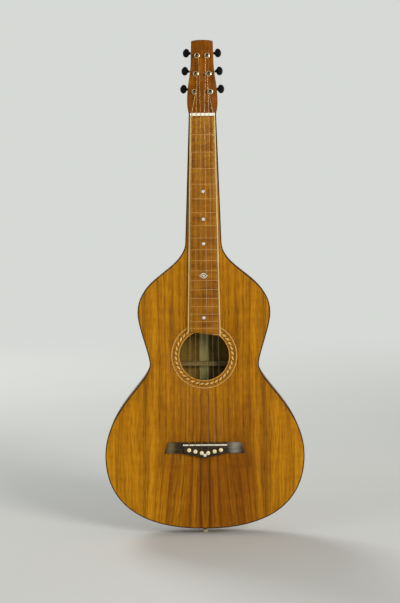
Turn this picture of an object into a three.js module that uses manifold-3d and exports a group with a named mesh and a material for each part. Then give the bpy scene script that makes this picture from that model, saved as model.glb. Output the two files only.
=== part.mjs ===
import * as THREE from 'three';
import { mergeVertices } from 'three/addons/utils/BufferGeometryUtils.js';
import Module from 'manifold-3d';

const wasm = await Module();
wasm.setup();

// A lap-played guitar whose hollow body runs on up the neck to the nut.
// Millimetres. It stands on its tail: +Z runs to the head, the front faces -Y, +X is the treble side.
// Heights are measured from the end pin's tip. Depths (y) are measured from the soundboard's face
// towards the back, and the finished guitar is moved so that its depth is centred on the origin.

// Outline of the body and neck. The lower bout's height is measured from the body's lowest edge,
// and each rise from the widest or narrowest line below it.
const lowerBoutWidth = 390;
const lowerBoutHeight = 144.5;
const waistWidth = 212.6;
const waistRise = 180.3;
const upperBoutWidth = 258.6;
const upperBoutRise = 101.1;
const shoulderWidth = 70.2;
const shoulderRise = 136.4;
const neckEndWidth = 52.6;
const tailRoundShare = 0.876;
const tailRiseShare = 0.626;
const waistLeaveShare = 0.511;
const waistArriveShare = 0.2;
const upperLeaveShare = 0.194;
const upperArriveShare = 0.285;
const shoulderLeaveShare = 0.513;
const shoulderArriveShare = 0.4;

// Depth of the body
const tailDepth = 78;
const shoulderDepth = 61;
const neckDepth = 31;
const backBendLength = 45;

// Plates, sides and their edges
const soundboardThickness = 2.8;
const backThickness = 2.8;
const sideThickness = 2.4;
const bindingWidth = 1.9;
const bindingDepth = 4.5;
const liningWidth = 6;
const liningDepth = 12;
const tailBlockWidth = 76;
const tailBlockLength = 20;
const tenonLength = 42;

// Braces
const braceWidth = 8;
const braceDepth = 13;
const braceEndDepth = 3.5;
const braceTaper = 45;
const upperBraceWidth = 12;
const upperBraceMargin = 12.8;
const xBraceRise = 91.8;
const xBraceAngle = 45;
const lowerBraceHeight = 92;
const lowerBraceMargin = 25.3;
const lowerBraceDepth = 9;
const bridgePlateWidth = 146;
const bridgePlateLength = 34;
const bridgePlateThickness = 2.5;
const backBraceWidth = 8.8;
const backBraceDepth = 14;
const backBraceHeights = [98, 206, 320, 426];
const backStripWidth = 18.6;
const backStripThickness = 2;
const backStripEndHeight = 560;

// Soundhole and the rings let into the soundboard
const soundholeHeight = 341.4;
const soundholeRadius = 48.2;
const ropeRingMargin = 4.6;
const ropeRingWidth = 5;
const outerRingMargin = 14.1;
const outerRingWidth = 2;
const ringDepth = 1.3;

// Scale and fretboard
const scaleLength = 635;
const fretCount = 19;
const notesInOctave = 12;
const fretWidth = 1.1;
const fretProud = 0.15;
const fretboardHeight = 5.6;
const fretboardNutWidth = 48.8;
const fretboardEndWidth = 64.6;
const fretboardOverHole = 9.7;
const fretboardSlant = 9.5;
const fretboardBindingWidth = 2.7;
const markerLength = 17;
const markerWidth = 11;
const markerThickness = 1;

// Nut and saddle
const nutThickness = 5.5;
const nutWidth = 48.2;
const nutHeight = 13;
const saddleHeight = 167.1;
const saddleLength = 86;
const saddleThickness = 3;
const saddleProud = 3.6;
const saddleSlotDepth = 4.5;
const saddleFrontDrop = 0.8;
const saddleBackDrop = 2.2;
const intonationSetback = 3.8;

// Bridge and its pins, set back from the bridge's upper edge
const bridgeTopWidth = 141.5;
const bridgeBottomWidth = 156;
const bridgeLength = 21.5;
const bridgePointLength = 29.8;
const bridgeBlockWidth = 82;
const bridgeHeight = 9;
const bridgeWingHeight = 4.6;
const bridgeTipHeight = 3.4;
const bridgeScoopWidth = 7;
const saddleInset = 4.4;
const pinSetbacks = [14.4, 17, 20];
const pinStringSpan = 62.1;
const pinHeadRadius = 4;
const pinHeadHeight = 3.2;
const pinCollarHeight = 0.9;
const pinTopRadius = 2.6;
const pinTipRadius = 2.2;
const pinShankLength = 24;
const pinTipRounding = 1;
const pinGrooveWidth = 2.1;
const pinGrooveFloor = 0.75;
const ballRadius = 1.9;

// Strings, bass to treble, and their turns on the posts
const stringDiameters = [1.37, 1.07, 0.81, 0.61, 0.43, 0.38];
const windingTurns = [2, 2.5, 3, 3, 3, 3];
const windingGap = 0.5;
const windingLift = 0.12;
const nutStringSpan = 41;
const windingTop = 7.9;

// Headstock, distances along its face from the nut's back
const headTilt = 5;
const headStep = 3;
const headThickness = 15;
const headLength = 142;
const headFlareWidth = 58.8;
const headFlareDistance = 23;
const headStraightWidth = 44;
const headStraightDistance = 102;
const headTopWidth = 42;
const headCrown = 2;
const headCornerRadius = 3;
const headFairing = 29;
const headFairingLead = 5;
const tenonKeyWidth = 25;
const flareLeaveShare = 0.6;
const flareArriveShare = 0.45;
const taperLeaveShare = 0.42;
const taperArriveShare = 0.35;

// Tuning machines, three on each plate
const tunersOnPlate = 3;
const firstPostDistance = 41.2;
const firstPostOffset = 15.3;
const postPitch = 35.1;
const plateSplay = 4.5;
const postRadius = 3;
const postBarrelRadius = 2.3;
const postHeight = 13.5;
const postHeadHeight = 4.6;
const postTopChamfer = 0.5;
const postBarrelFoot = 1.9;
const postShoulder = 0.6;
const washerRadius = 5.2;
const washerHeight = 1;
const plateThickness = 1.2;
const plateInnerWidth = 6.2;
const plateOuterWidth = 7.2;
const plateNutMargin = 8;
const plateTopMargin = 13;
const toothCount = 14;
const toothModule = 0.62;
const toothAddendum = 0.5;
const toothDedendum = 0.7;
const toothWidthShare = 0.37;
const toothFlankAngle = 20;
const gearFaceWidth = 3;
const gearScrewRadius = 2.3;
const gearScrewHeight = 1.3;
const wormPitchRadius = 2.3;
const wormTurns = 3;
const wormAxisHeight = 3.6;
const shaftRadius = 1.4;
const earThickness = 1.2;
const earRadius = 2.7;
const earGap = 0.45;
const shaftEndLength = 0.8;
const buttonReach = 21.5;
const buttonLength = 13.2;
const buttonWidth = 17.2;
const buttonThickness = 7.4;
const buttonCollarRadius = 2.7;
const buttonCollarLength = 3;

// End pin
const endPinProud = 14;
const endPinRadius = 5.2;
const endPinWaistRadius = 3.6;
const endPinRim = 1.1;
const endPinFlange = 4.5;
const endPinWaistHeight = 8;
const endPinShankRadius = 3.1;
const endPinTipRadius = 2.6;
const endPinShankLength = 18;

// Fits
const glueLine = 0.1;
const runningGap = 0.3;
const slotGap = 0.15;
const overrun = 5;

// Facets
const holeSides = 10;
const ringSides = 36;
const postSides = 10;
const shaftSides = 8;
const wormSteps = 8;
const windingSteps = 12;
const stringSides = 6;
const buttonSides = 10;
const tailSteps = 11;
const waistSteps = 7;
const shoulderSteps = 11;
const bendSteps = 5;
const markerSteps = 2;
const ballSides = 5;
const ballRings = 3;

// Places that follow from the sizes above
const bodyZ = endPinProud;
const saddleZ = bodyZ + saddleHeight;
const nutZ = saddleZ + intonationSetback + scaleLength;
const headZ = nutZ + nutThickness;
const bridgeZ = saddleZ + saddleInset;
const soundholeZ = bodyZ + soundholeHeight;
const waistHeight = lowerBoutHeight + waistRise;
const upperBoutHeight = waistHeight + upperBoutRise;
const shoulderHeight = upperBoutHeight + shoulderRise;
const stringCount = stringDiameters.length;
const frontReach = bridgeHeight + saddleProud + slotGap + Math.max(...stringDiameters);
const depthCentre = (tailDepth - frontReach) / 2;
const centreDistance = toothModule * toothCount / 2 + wormPitchRadius;
const wormLead = Math.PI * toothModule;
const plateBackY = headThickness + runningGap + plateThickness;
const shaftY = plateBackY + wormAxisHeight;

const { degToRad, lerp } = THREE.MathUtils;
const flat = (x, y) => new THREE.Vector2(x, y);
const place = (x, y, z) => new THREE.Vector3(x, y, z);

// Closed meshes and booleans

function vertexOf(mesh, index) {
  return new THREE.Vector3().fromBufferAttribute(mesh.getAttribute('position'), index);
}

// Welds the corners, drops the empty triangles at poles and turns the faces outwards
function closedMesh(geometry) {
  const bare = new THREE.BufferGeometry();
  bare.setAttribute('position', geometry.getAttribute('position').clone());
  if (geometry.getIndex()) bare.setIndex(geometry.getIndex().clone());
  const mesh = mergeVertices(bare);
  const index = mesh.getIndex().array;
  const faces = [];
  let volume = 0;
  for (let at = 0; at < index.length; at += 3) {
    const corners = [index[at], index[at + 1], index[at + 2]];
    if (new Set(corners).size < corners.length) continue;
    faces.push(corners);
    const [a, b, c] = corners.map((corner) => vertexOf(mesh, corner));
    volume += a.dot(b.cross(c));
  }
  if (volume < 0) faces.forEach((corners) => corners.reverse());
  mesh.setIndex(faces.flat());
  return mesh;
}

function solidOf(geometry) {
  const mesh = closedMesh(geometry);
  return new wasm.Manifold(new wasm.Mesh({
    numProp: 3,
    vertProperties: new Float32Array(mesh.getAttribute('position').array),
    triVerts: new Uint32Array(mesh.getIndex().array),
  }));
}

function geometryOf(solid) {
  const mesh = solid.getMesh();
  const geometry = new THREE.BufferGeometry();
  geometry.setAttribute('position', new THREE.BufferAttribute(new Float32Array(mesh.vertProperties), 3));
  geometry.setIndex(new THREE.BufferAttribute(new Uint32Array(mesh.triVerts), 1));
  return geometry;
}

const cut = (geometry, ...tools) => geometryOf(
  tools.reduce((left, tool) => left.subtract(solidOf(tool)), solidOf(geometry)),
);
const join = (geometry, ...others) => geometryOf(
  others.reduce((whole, other) => whole.add(solidOf(other)), solidOf(geometry)),
);
const keepWithin = (geometry, ...regions) => geometryOf(
  regions.reduce((kept, region) => kept.intersect(solidOf(region)), solidOf(geometry)),
);

// Prisms drawn in the front view (x, z), the side view (y, z) and the cross section (x, y)

const axisX = place(1, 0, 0);
const axisY = place(0, 1, 0);
const axisZ = place(0, 0, 1);
const frontView = new THREE.Matrix4().makeBasis(axisX, axisZ, axisY.clone().negate());
const sideView = new THREE.Matrix4().makeBasis(axisY, axisZ, axisX);

function prism(shape, depth) {
  return new THREE.ExtrudeGeometry(shape, { depth, bevelEnabled: false, curveSegments: holeSides });
}

function frontPrism(shape, frontY, backY) {
  return prism(shape, backY - frontY).applyMatrix4(frontView).translate(0, backY, 0);
}

function sidePrism(shape, width, x = 0) {
  return prism(shape, width).applyMatrix4(sideView).translate(x - width / 2, 0, 0);
}

function crossPrism(shape, lowZ, highZ) {
  return prism(shape, highZ - lowZ).translate(0, 0, lowZ);
}

function block(lowX, highX, lowY, highY, lowZ, highZ) {
  return new THREE.BoxGeometry(highX - lowX, highY - lowY, highZ - lowZ)
    .translate((lowX + highX) / 2, (lowY + highY) / 2, (lowZ + highZ) / 2);
}

// A round hole or shank along y, its corners lined up with every other round of the same count
function roundY(radius, frontY, backY, x = 0, z = 0) {
  return new THREE.CylinderGeometry(radius, radius, backY - frontY, holeSides)
    .translate(x, (frontY + backY) / 2, z);
}

// A shape that is the same on both sides of x = 0, from its right-hand edge drawn upwards
function evenShape(rightEdge) {
  const leftEdge = rightEdge.filter((point) => point.x > 0).map((point) => flat(-point.x, point.y));
  return new THREE.Shape([...rightEdge, ...leftEdge.reverse()]);
}

// Skins a row of equal rings of points and closes both ends
function loft(rings) {
  const sides = rings[0].length;
  const last = (rings.length - 1) * sides;
  const faces = [];
  for (let ring = 1; ring < rings.length; ring += 1) {
    for (let side = 0; side < sides; side += 1) {
      const next = (side + 1) % sides;
      const low = (ring - 1) * sides;
      const high = ring * sides;
      faces.push(low + side, low + next, high + next, low + side, high + next, high + side);
    }
  }
  for (let side = 2; side < sides; side += 1) {
    faces.push(0, side, side - 1, last, last + side - 1, last + side);
  }
  const geometry = new THREE.BufferGeometry().setFromPoints(rings.flat());
  geometry.setIndex(faces);
  return geometry;
}

// A round wire through points, each ring on the bisector of its bend
function wire(points, radius, sides) {
  let across = axisX.clone();
  const rings = points.map((point, at) => {
    const forward = place(0, 0, 0);
    if (at > 0) forward.add(point.clone().sub(points[at - 1]).normalize());
    if (at < points.length - 1) forward.add(points[at + 1].clone().sub(point).normalize());
    forward.normalize();
    across = across.clone().addScaledVector(forward, -across.dot(forward)).normalize();
    const upward = forward.clone().cross(across);
    return Array.from({ length: sides }, (_, side) => {
      const angle = 2 * Math.PI * side / sides;
      return point.clone()
        .addScaledVector(across, radius * Math.cos(angle))
        .addScaledVector(upward, radius * Math.sin(angle));
    });
  });
  return loft(rings);
}

// Outline

// Right-hand edge of the body and neck in the front view, from the tail to the neck's end
function bodyEdge() {
  const lower = lowerBoutWidth / 2;
  const waist = waistWidth / 2;
  const upper = upperBoutWidth / 2;
  const shoulder = shoulderWidth / 2;
  const neckEnd = neckEndWidth / 2;
  const endHeight = headZ - glueLine - bodyZ;
  const neckSlope = (shoulder - neckEnd) / (endHeight - shoulderHeight);
  const arrive = shoulderArriveShare * shoulderRise;
  const tail = new THREE.CubicBezierCurve(
    flat(0, 0),
    flat(tailRoundShare * lower, 0),
    flat(lower, tailRiseShare * lowerBoutHeight),
    flat(lower, lowerBoutHeight),
  );
  const middle = new THREE.CubicBezierCurve(
    flat(lower, lowerBoutHeight),
    flat(lower, lowerBoutHeight + waistLeaveShare * waistRise),
    flat(waist, waistHeight - waistArriveShare * waistRise),
    flat(waist, waistHeight),
  );
  const bout = new THREE.CubicBezierCurve(
    flat(waist, waistHeight),
    flat(waist, waistHeight + upperLeaveShare * upperBoutRise),
    flat(upper, upperBoutHeight - upperArriveShare * upperBoutRise),
    flat(upper, upperBoutHeight),
  );
  const neckRoot = new THREE.CubicBezierCurve(
    flat(upper, upperBoutHeight),
    flat(upper, upperBoutHeight + shoulderLeaveShare * shoulderRise),
    flat(shoulder + neckSlope * arrive, shoulderHeight - arrive),
    flat(shoulder, shoulderHeight),
  );
  return [
    ...tail.getPoints(tailSteps),
    ...middle.getPoints(waistSteps).slice(1),
    ...bout.getPoints(waistSteps).slice(1),
    ...neckRoot.getPoints(shoulderSteps).slice(1),
    flat(neckEnd, endHeight),
  ].map((point) => flat(point.x, point.y + bodyZ));
}

// The same edge moved inwards by a plate's, side's or lining's width
function insetEdge(inset, seam = 0) {
  const edge = bodyEdge();
  const last = edge.length - 1;
  return edge.map((point, at) => {
    if (at === 0) return flat(seam, point.y + inset);
    if (at === last) return flat(point.x - inset, point.y);
    const along = edge[at + 1].clone().sub(edge[at - 1]).normalize();
    return flat(point.x - along.y * inset, point.y + along.x * inset);
  });
}

// Half of the rim between two insets, on the treble side (1) or the bass side (-1)
function rimStrip(outerInset, innerInset, side) {
  const outer = insetEdge(outerInset, glueLine / 2);
  const inner = insetEdge(innerInset, glueLine / 2);
  return new THREE.Shape([...outer, ...inner.reverse()].map((point) => flat(side * point.x, point.y)));
}

const bodySection = (inset) => evenShape(insetEdge(inset));

// The back's run in the side view, moved towards the front by a thickness
function backRun(inset) {
  const shoulderZ = bodyZ + shoulderHeight;
  const depthAt = (z) => lerp(tailDepth, shoulderDepth, (z - bodyZ) / shoulderHeight);
  const neckAt = (z) => lerp(shoulderDepth, neckDepth, (z - shoulderZ) / (headZ - shoulderZ));
  const bendLow = shoulderZ - backBendLength;
  const bendHigh = shoulderZ + backBendLength;
  const bend = new THREE.QuadraticBezierCurve(
    flat(depthAt(bendLow), bendLow),
    flat(shoulderDepth, shoulderZ),
    flat(neckAt(bendHigh), bendHigh),
  );
  return [
    flat(depthAt(bodyZ - overrun), bodyZ - overrun),
    ...bend.getPoints(bendSteps),
    flat(neckAt(headZ + overrun), headZ + overrun),
  ].map((point) => flat(point.x - inset, point.y));
}

// The slice of the body, in the side view, between a depth and the back less an inset
function bodySlice(frontY, inset) {
  const run = backRun(inset);
  const low = run[0].y;
  const high = run[run.length - 1].y;
  return sidePrism(new THREE.Shape([flat(frontY, low), ...run, flat(frontY, high)]), 2 * lowerBoutWidth);
}

// The slice between two insets of the back
function backSlice(innerInset, outerInset) {
  const outline = [...backRun(outerInset), ...backRun(innerInset).reverse()];
  return sidePrism(new THREE.Shape(outline), 2 * lowerBoutWidth);
}

// Finishes

const finish = (color, roughness, metalness = 0) => new THREE.MeshStandardMaterial({
  color, roughness, metalness,
});
const koaTop = () => finish(0xb97a2b, 0.35);
const koaSide = () => finish(0x9a5a20, 0.38);
const rosewood = () => finish(0x2e1c12, 0.4);
const mahogany = () => finish(0x8a4f2a, 0.7);
const spruce = () => finish(0xd9b47c, 0.75);
const fretWood = () => finish(0x7b4a1f, 0.45);
const ivoroid = () => finish(0xe2cfa0, 0.4);
const bone = () => finish(0xeee6d0, 0.35);
const pearl = () => finish(0xdfe3dc, 0.2);
const ebony = () => finish(0x1d1a18, 0.4);
const nickel = () => finish(0xc9c6bd, 0.3, 1);
const steelWire = () => finish(0xbdbdb8, 0.3, 1);
const bronzeWire = () => finish(0xb58a55, 0.35, 1);
const blackButton = () => finish(0x141414, 0.3);

const guitar = new THREE.Group();

function addPart(name, geometry, material, group = guitar) {
  const part = new THREE.Mesh(closedMesh(geometry), material);
  part.name = name;
  group.add(part);
  return part;
}

const bothSides = [{ side: -1, word: 'bass' }, { side: 1, word: 'treble' }];

// Soundboard, back, sides and their bindings

function ring(innerRadius, width, frontY, depth) {
  return new THREE.LatheGeometry([
    flat(innerRadius, frontY),
    flat(innerRadius + width, frontY),
    flat(innerRadius + width, frontY + depth),
    flat(innerRadius, frontY + depth),
    flat(innerRadius, frontY),
  ], ringSides).translate(0, 0, soundholeZ);
}

const ropeRingRadius = soundholeRadius + ropeRingMargin;
const outerRingRadius = soundholeRadius + outerRingMargin;

// A channel a glue line wider than the ring, and open at the face
function ringChannel(innerRadius, width) {
  return ring(innerRadius - glueLine, width + 2 * glueLine, -overrun, overrun + ringDepth + glueLine);
}

function soundboardShape() {
  const shape = bodySection(bindingWidth + glueLine);
  const hole = Array.from({ length: ringSides }, (_, at) => {
    const angle = 2 * Math.PI * at / ringSides;
    return flat(soundholeRadius * Math.sin(angle), soundholeZ + soundholeRadius * Math.cos(angle));
  });
  shape.holes.push(new THREE.Path(hole));
  return shape;
}

const pinHoleRadius = pinTopRadius + runningGap;
const stringShare = (at) => at / (stringCount - 1) - 1 / 2;
const strings = stringDiameters.map((diameter, at) => {
  const row = Math.min(at, stringCount - 1 - at);
  return {
    name: stringCount - at,
    diameter,
    turns: windingTurns[at],
    row,
    side: Math.sign(stringShare(at)),
    nutX: nutStringSpan * stringShare(at),
    pinX: pinStringSpan * stringShare(at),
    pinZ: bridgeZ - pinSetbacks[row],
  };
});
const pinHoles = () => strings.map(
  ({ pinX, pinZ }) => roundY(pinHoleRadius, -tailDepth, tailDepth, pinX, pinZ),
);

addPart('soundboard', cut(
  frontPrism(soundboardShape(), 0, soundboardThickness),
  ringChannel(ropeRingRadius, ropeRingWidth),
  ringChannel(outerRingRadius, outerRingWidth),
  ...pinHoles(),
), koaTop());
addPart('rosette_rope_ring', ring(ropeRingRadius, ropeRingWidth, 0, ringDepth), pearl());
addPart('rosette_outer_ring', ring(outerRingRadius, outerRingWidth, 0, ringDepth), pearl());

addPart('back', keepWithin(
  frontPrism(bodySection(0), 0, tailDepth + overrun),
  backSlice(backThickness, 0),
), koaSide());

const endPinY = tailDepth / 2;
const endPinHoleRadius = endPinShankRadius + runningGap;
const endPinHole = () => new THREE.CylinderGeometry(
  endPinHoleRadius, endPinHoleRadius, 2 * endPinShankLength, holeSides,
).rotateX(Math.PI / 2).translate(0, endPinY, bodyZ);

const backInside = backThickness + glueLine;
for (const { side, word } of bothSides) {
  const strip = frontPrism(rimStrip(0, sideThickness, side), 0, tailDepth);
  addPart(`side_${word}`, cut(
    keepWithin(strip, bodySlice(bindingDepth + glueLine, backInside)),
    endPinHole(),
  ), koaSide());
  addPart(`binding_${word}`, frontPrism(rimStrip(0, bindingWidth, side), 0, bindingDepth), rosewood());
}

// Blocks and linings inside the rim

const liningOuter = sideThickness + glueLine;
const liningInner = liningOuter + liningWidth;
const faceInside = soundboardThickness + glueLine;
const tailBlockTop = bodyZ + liningOuter + tailBlockLength;
const tenonLow = nutZ - tenonLength;
const wide = lowerBoutWidth;

addPart('tail_block', cut(keepWithin(
  frontPrism(bodySection(liningOuter), faceInside, tailDepth),
  bodySlice(faceInside, backInside),
  block(-tailBlockWidth / 2, tailBlockWidth / 2, 0, tailDepth, 0, tailBlockTop),
), endPinHole()), mahogany());

const betweenBlocks = block(-wide, wide, 0, tailDepth, tailBlockTop + glueLine, tenonLow - glueLine);
const besideTailBlock = (side) => {
  const inner = side * (tailBlockWidth / 2 + glueLine);
  const outer = side * wide;
  return block(Math.min(inner, outer), Math.max(inner, outer), 0, tailDepth, 0, tenonLow - glueLine);
};
for (const { side, word } of bothSides) {
  const strip = frontPrism(rimStrip(liningOuter, liningInner, side), faceInside, tailDepth);
  const room = join(betweenBlocks, besideTailBlock(side));
  addPart(`top_lining_${word}`, keepWithin(strip, room,
    block(-wide, wide, faceInside, faceInside + liningDepth, 0, nutZ)), spruce());
  addPart(`back_lining_${word}`, keepWithin(strip, room,
    backSlice(backInside + liningDepth, backInside)), spruce());
}

// Braces: a bar with feathered ends, drawn along x with its glued face at y = 0

function braceBar(length, width, depth) {
  const half = length / 2;
  const taper = Math.min(braceTaper, half / 2);
  const shape = new THREE.Shape([
    flat(-half, 0), flat(half, 0), flat(half, braceEndDepth), flat(half - taper, depth),
    flat(taper - half, depth), flat(-half, braceEndDepth),
  ]);
  return crossPrism(shape, -width / 2, width / 2);
}

const insideLinings = () => frontPrism(bodySection(liningInner + glueLine), 0, tailDepth);

// Half the room between the linings at a height
function halfRoomAt(z) {
  const edge = insetEdge(liningInner + glueLine);
  const above = edge.findIndex((point) => point.y > z);
  const low = edge[above - 1];
  const high = edge[above];
  return lerp(low.x, high.x, (z - low.y) / (high.y - low.y));
}

const upperBraceZ = soundholeZ + soundholeRadius + upperBraceMargin + upperBraceWidth / 2;
addPart('upper_top_brace', keepWithin(
  braceBar(2 * halfRoomAt(upperBraceZ), upperBraceWidth, braceDepth).translate(0, faceInside, upperBraceZ),
  insideLinings(),
), spruce());

const bridgePlateTop = bridgeZ - saddleInset;
const xBraceZ = bridgePlateTop + xBraceRise;
const xBraceTurn = degToRad(xBraceAngle);

// How far a line from the crossing runs before it meets the linings
function reachFrom(turn) {
  const edge = insetEdge(liningInner + glueLine);
  const meets = edge.findIndex((point, at) => {
    if (at === 0) return false;
    const bearing = Math.atan2(point.y - xBraceZ, point.x);
    return bearing > turn;
  });
  const bearings = [edge[meets - 1], edge[meets]].map((point) => Math.atan2(point.y - xBraceZ, point.x));
  const share = (turn - bearings[0]) / (bearings[1] - bearings[0]);
  return Math.hypot(
    lerp(edge[meets - 1].x, edge[meets].x, share),
    lerp(edge[meets - 1].y, edge[meets].y, share) - xBraceZ,
  );
}

// Each arm runs from a low corner of the lower bout, through the crossing, to the far side of the waist,
// and stays below the upper brace
function xBrace(side) {
  const upward = reachFrom(xBraceTurn);
  const downward = reachFrom(-xBraceTurn);
  const bar = braceBar(upward + downward, braceWidth, braceDepth)
    .translate((upward - downward) / 2, 0, 0)
    .rotateY(-xBraceTurn);
  if (side < 0) bar.scale(-1, 1, 1);
  const below = block(-wide, wide, 0, tailDepth, 0, upperBraceZ - upperBraceWidth / 2 - glueLine);
  return keepWithin(bar.translate(0, faceInside, xBraceZ), insideLinings(), below);
}

// The arms are halved into each other where they cross
const halvingDepth = faceInside + braceDepth / 2;
const crossing = (side, grow, frontY, backY) => block(
  -wide, wide, frontY, backY, -braceWidth / 2 - grow, braceWidth / 2 + grow,
).rotateY(-side * xBraceTurn).translate(0, 0, xBraceZ);
addPart('x_brace_bass', cut(xBrace(-1), crossing(1, glueLine, 0, halvingDepth)), spruce());
addPart('x_brace_treble', cut(
  xBrace(1),
  crossing(-1, glueLine, halvingDepth - glueLine, tailDepth),
), spruce());

// The lower brace ends clear of both arms
const lowerBraceZ = bodyZ + lowerBraceHeight;
const armRun = (xBraceZ - lowerBraceZ - braceWidth / 2) / Math.tan(xBraceTurn);
const lowerBraceHalf = armRun - braceWidth / 2 / Math.sin(xBraceTurn) - lowerBraceMargin;
addPart('lower_face_brace', keepWithin(
  braceBar(2 * lowerBraceHalf, braceWidth, lowerBraceDepth).translate(0, faceInside, lowerBraceZ),
  insideLinings(),
), spruce());

const bridgePlateBack = faceInside + bridgePlateThickness;
addPart('bridge_plate', cut(block(
  -bridgePlateWidth / 2, bridgePlateWidth / 2, faceInside, bridgePlateBack,
  bridgePlateTop - bridgePlateLength, bridgePlateTop,
), ...pinHoles()), mahogany());

// The strip over the back's seam, and the braces notched over it

const centreStrip = block(
  -backStripWidth / 2, backStripWidth / 2, 0, tailDepth,
  tailBlockTop + glueLine, bodyZ + backStripEndHeight,
);
addPart('back_centre_strip',
  keepWithin(centreStrip, backSlice(backInside + backStripThickness, backInside)), spruce());

backBraceHeights.forEach((height, at) => {
  const z = bodyZ + height;
  const length = 2 * halfRoomAt(z);
  const bar = braceBar(length, backBraceWidth, tailDepth).scale(1, -1, 1).translate(0, tailDepth, z);
  const run = keepWithin(bar, backSlice(backInside + backBraceDepth, backInside), insideLinings());
  const notch = keepWithin(
    block(-backStripWidth / 2 - glueLine, backStripWidth / 2 + glueLine, 0, tailDepth, 0, nutZ),
    backSlice(backInside + backStripThickness + glueLine, -overrun),
  );
  addPart(`back_brace_${at + 1}`, cut(run, notch), spruce());
});

// Fretboard: its end is cut on a slant, so that the last fret crosses only the treble side

const trebleEndZ = soundholeZ + soundholeRadius - fretboardOverHole;
const bassEndZ = trebleEndZ + fretboardSlant;
const fretboardHalf = (z) => lerp(
  fretboardNutWidth / 2, fretboardEndWidth / 2, (nutZ - z) / (nutZ - trebleEndZ),
);
const endCorners = [
  flat(-fretboardHalf(bassEndZ), bassEndZ),
  flat(fretboardHalf(trebleEndZ), trebleEndZ),
];
const endZ = (x) => lerp(endCorners[0].y, endCorners[1].y,
  (x - endCorners[0].x) / (endCorners[1].x - endCorners[0].x));
const fretboardTop = nutZ - glueLine;

function fretboardCore() {
  const inset = fretboardBindingWidth + glueLine;
  const nutHalf = fretboardHalf(nutZ) - inset;
  const bassX = endCorners[0].x + inset;
  const trebleX = endCorners[1].x - inset;
  return new THREE.Shape([
    flat(-nutHalf, fretboardTop), flat(bassX, endZ(bassX)),
    flat(trebleX, endZ(trebleX)), flat(nutHalf, fretboardTop),
  ]);
}

const fretDistance = (fret) => scaleLength * (1 - 2 ** (-fret / notesInOctave));
const fretZ = (fret) => nutZ - fretDistance(fret);
const octaveZ = (fretZ(notesInOctave - 1) + fretZ(notesInOctave)) / 2;

// A long lozenge with bowed sides
function markerShape(grow) {
  const half = markerLength / 2 + grow;
  const bow = markerWidth / 2 + grow;
  const shape = new THREE.Shape();
  shape.moveTo(-half, octaveZ);
  shape.quadraticCurveTo(-half / 2, octaveZ + bow, 0, octaveZ + bow);
  shape.quadraticCurveTo(half / 2, octaveZ + bow, half, octaveZ);
  shape.quadraticCurveTo(half / 2, octaveZ - bow, 0, octaveZ - bow);
  shape.quadraticCurveTo(-half / 2, octaveZ - bow, -half, octaveZ);
  return new THREE.Shape(shape.getPoints(markerSteps));
}

const fretRuns = Array.from({ length: fretCount }, (_, at) => block(
  -wide, wide, -fretboardHeight - fretProud, -fretboardHeight + fretProud,
  fretZ(at + 1) - fretWidth / 2, fretZ(at + 1) + fretWidth / 2,
));
const frets = keepWithin(join(...fretRuns), frontPrism(fretboardCore(), -fretboardHeight - overrun, 0));
const markerBack = markerThickness - fretboardHeight;
addPart('fretboard', cut(
  join(frontPrism(fretboardCore(), -fretboardHeight, -glueLine), frets),
  frontPrism(markerShape(glueLine), -fretboardHeight - overrun, markerBack + glueLine),
), fretWood());
addPart('octave_marker', frontPrism(markerShape(0), -fretboardHeight, markerBack), pearl());

for (const { side, word } of bothSides) {
  const corner = endCorners[(side + 1) / 2];
  const innerX = corner.x - side * fretboardBindingWidth;
  const nutX = side * fretboardHalf(nutZ);
  const innerNutX = nutX - side * fretboardBindingWidth;
  const shape = new THREE.Shape([
    flat(nutX, fretboardTop), corner, flat(innerX, endZ(innerX)), flat(innerNutX, fretboardTop),
  ]);
  addPart(`fretboard_binding_${word}`, frontPrism(shape, -fretboardHeight, -glueLine), ivoroid());
}

// Nut, notched for each string

const notches = strings.map(({ nutX, diameter }) => block(
  nutX - diameter / 2 - slotGap, nutX + diameter / 2 + slotGap,
  -nutHeight - overrun, diameter / 2 + slotGap - nutHeight, nutZ - overrun, headZ + overrun,
));
addPart('nut', cut(
  block(-nutWidth / 2, nutWidth / 2, -nutHeight, -glueLine, nutZ, headZ - glueLine), ...notches,
), bone());

// Bridge, saddle and string ramps

const bridgeEdge = [
  flat(0, bridgeZ - bridgePointLength),
  flat(bridgeBlockWidth / 2, bridgeZ - bridgeLength),
  flat(bridgeBottomWidth / 2, bridgeZ - bridgeLength),
  flat(bridgeTopWidth / 2, bridgeZ),
];
const bridgeRise = new THREE.Shape();
const blockHalf = bridgeBlockWidth / 2;
bridgeRise.moveTo(-bridgeBottomWidth / 2, -glueLine);
bridgeRise.lineTo(-bridgeBottomWidth / 2, -bridgeTipHeight);
bridgeRise.lineTo(-blockHalf - bridgeScoopWidth, -bridgeWingHeight);
bridgeRise.quadraticCurveTo(-blockHalf, -bridgeWingHeight, -blockHalf, -bridgeHeight);
bridgeRise.lineTo(blockHalf, -bridgeHeight);
bridgeRise.quadraticCurveTo(blockHalf, -bridgeWingHeight, blockHalf + bridgeScoopWidth, -bridgeWingHeight);
bridgeRise.lineTo(bridgeBottomWidth / 2, -bridgeTipHeight);
bridgeRise.lineTo(bridgeBottomWidth / 2, -glueLine);

const saddleTop = bridgeHeight + saddleProud;
const saddleFloor = bridgeHeight - saddleSlotDepth;
const halfSaddle = saddleThickness / 2;

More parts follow.
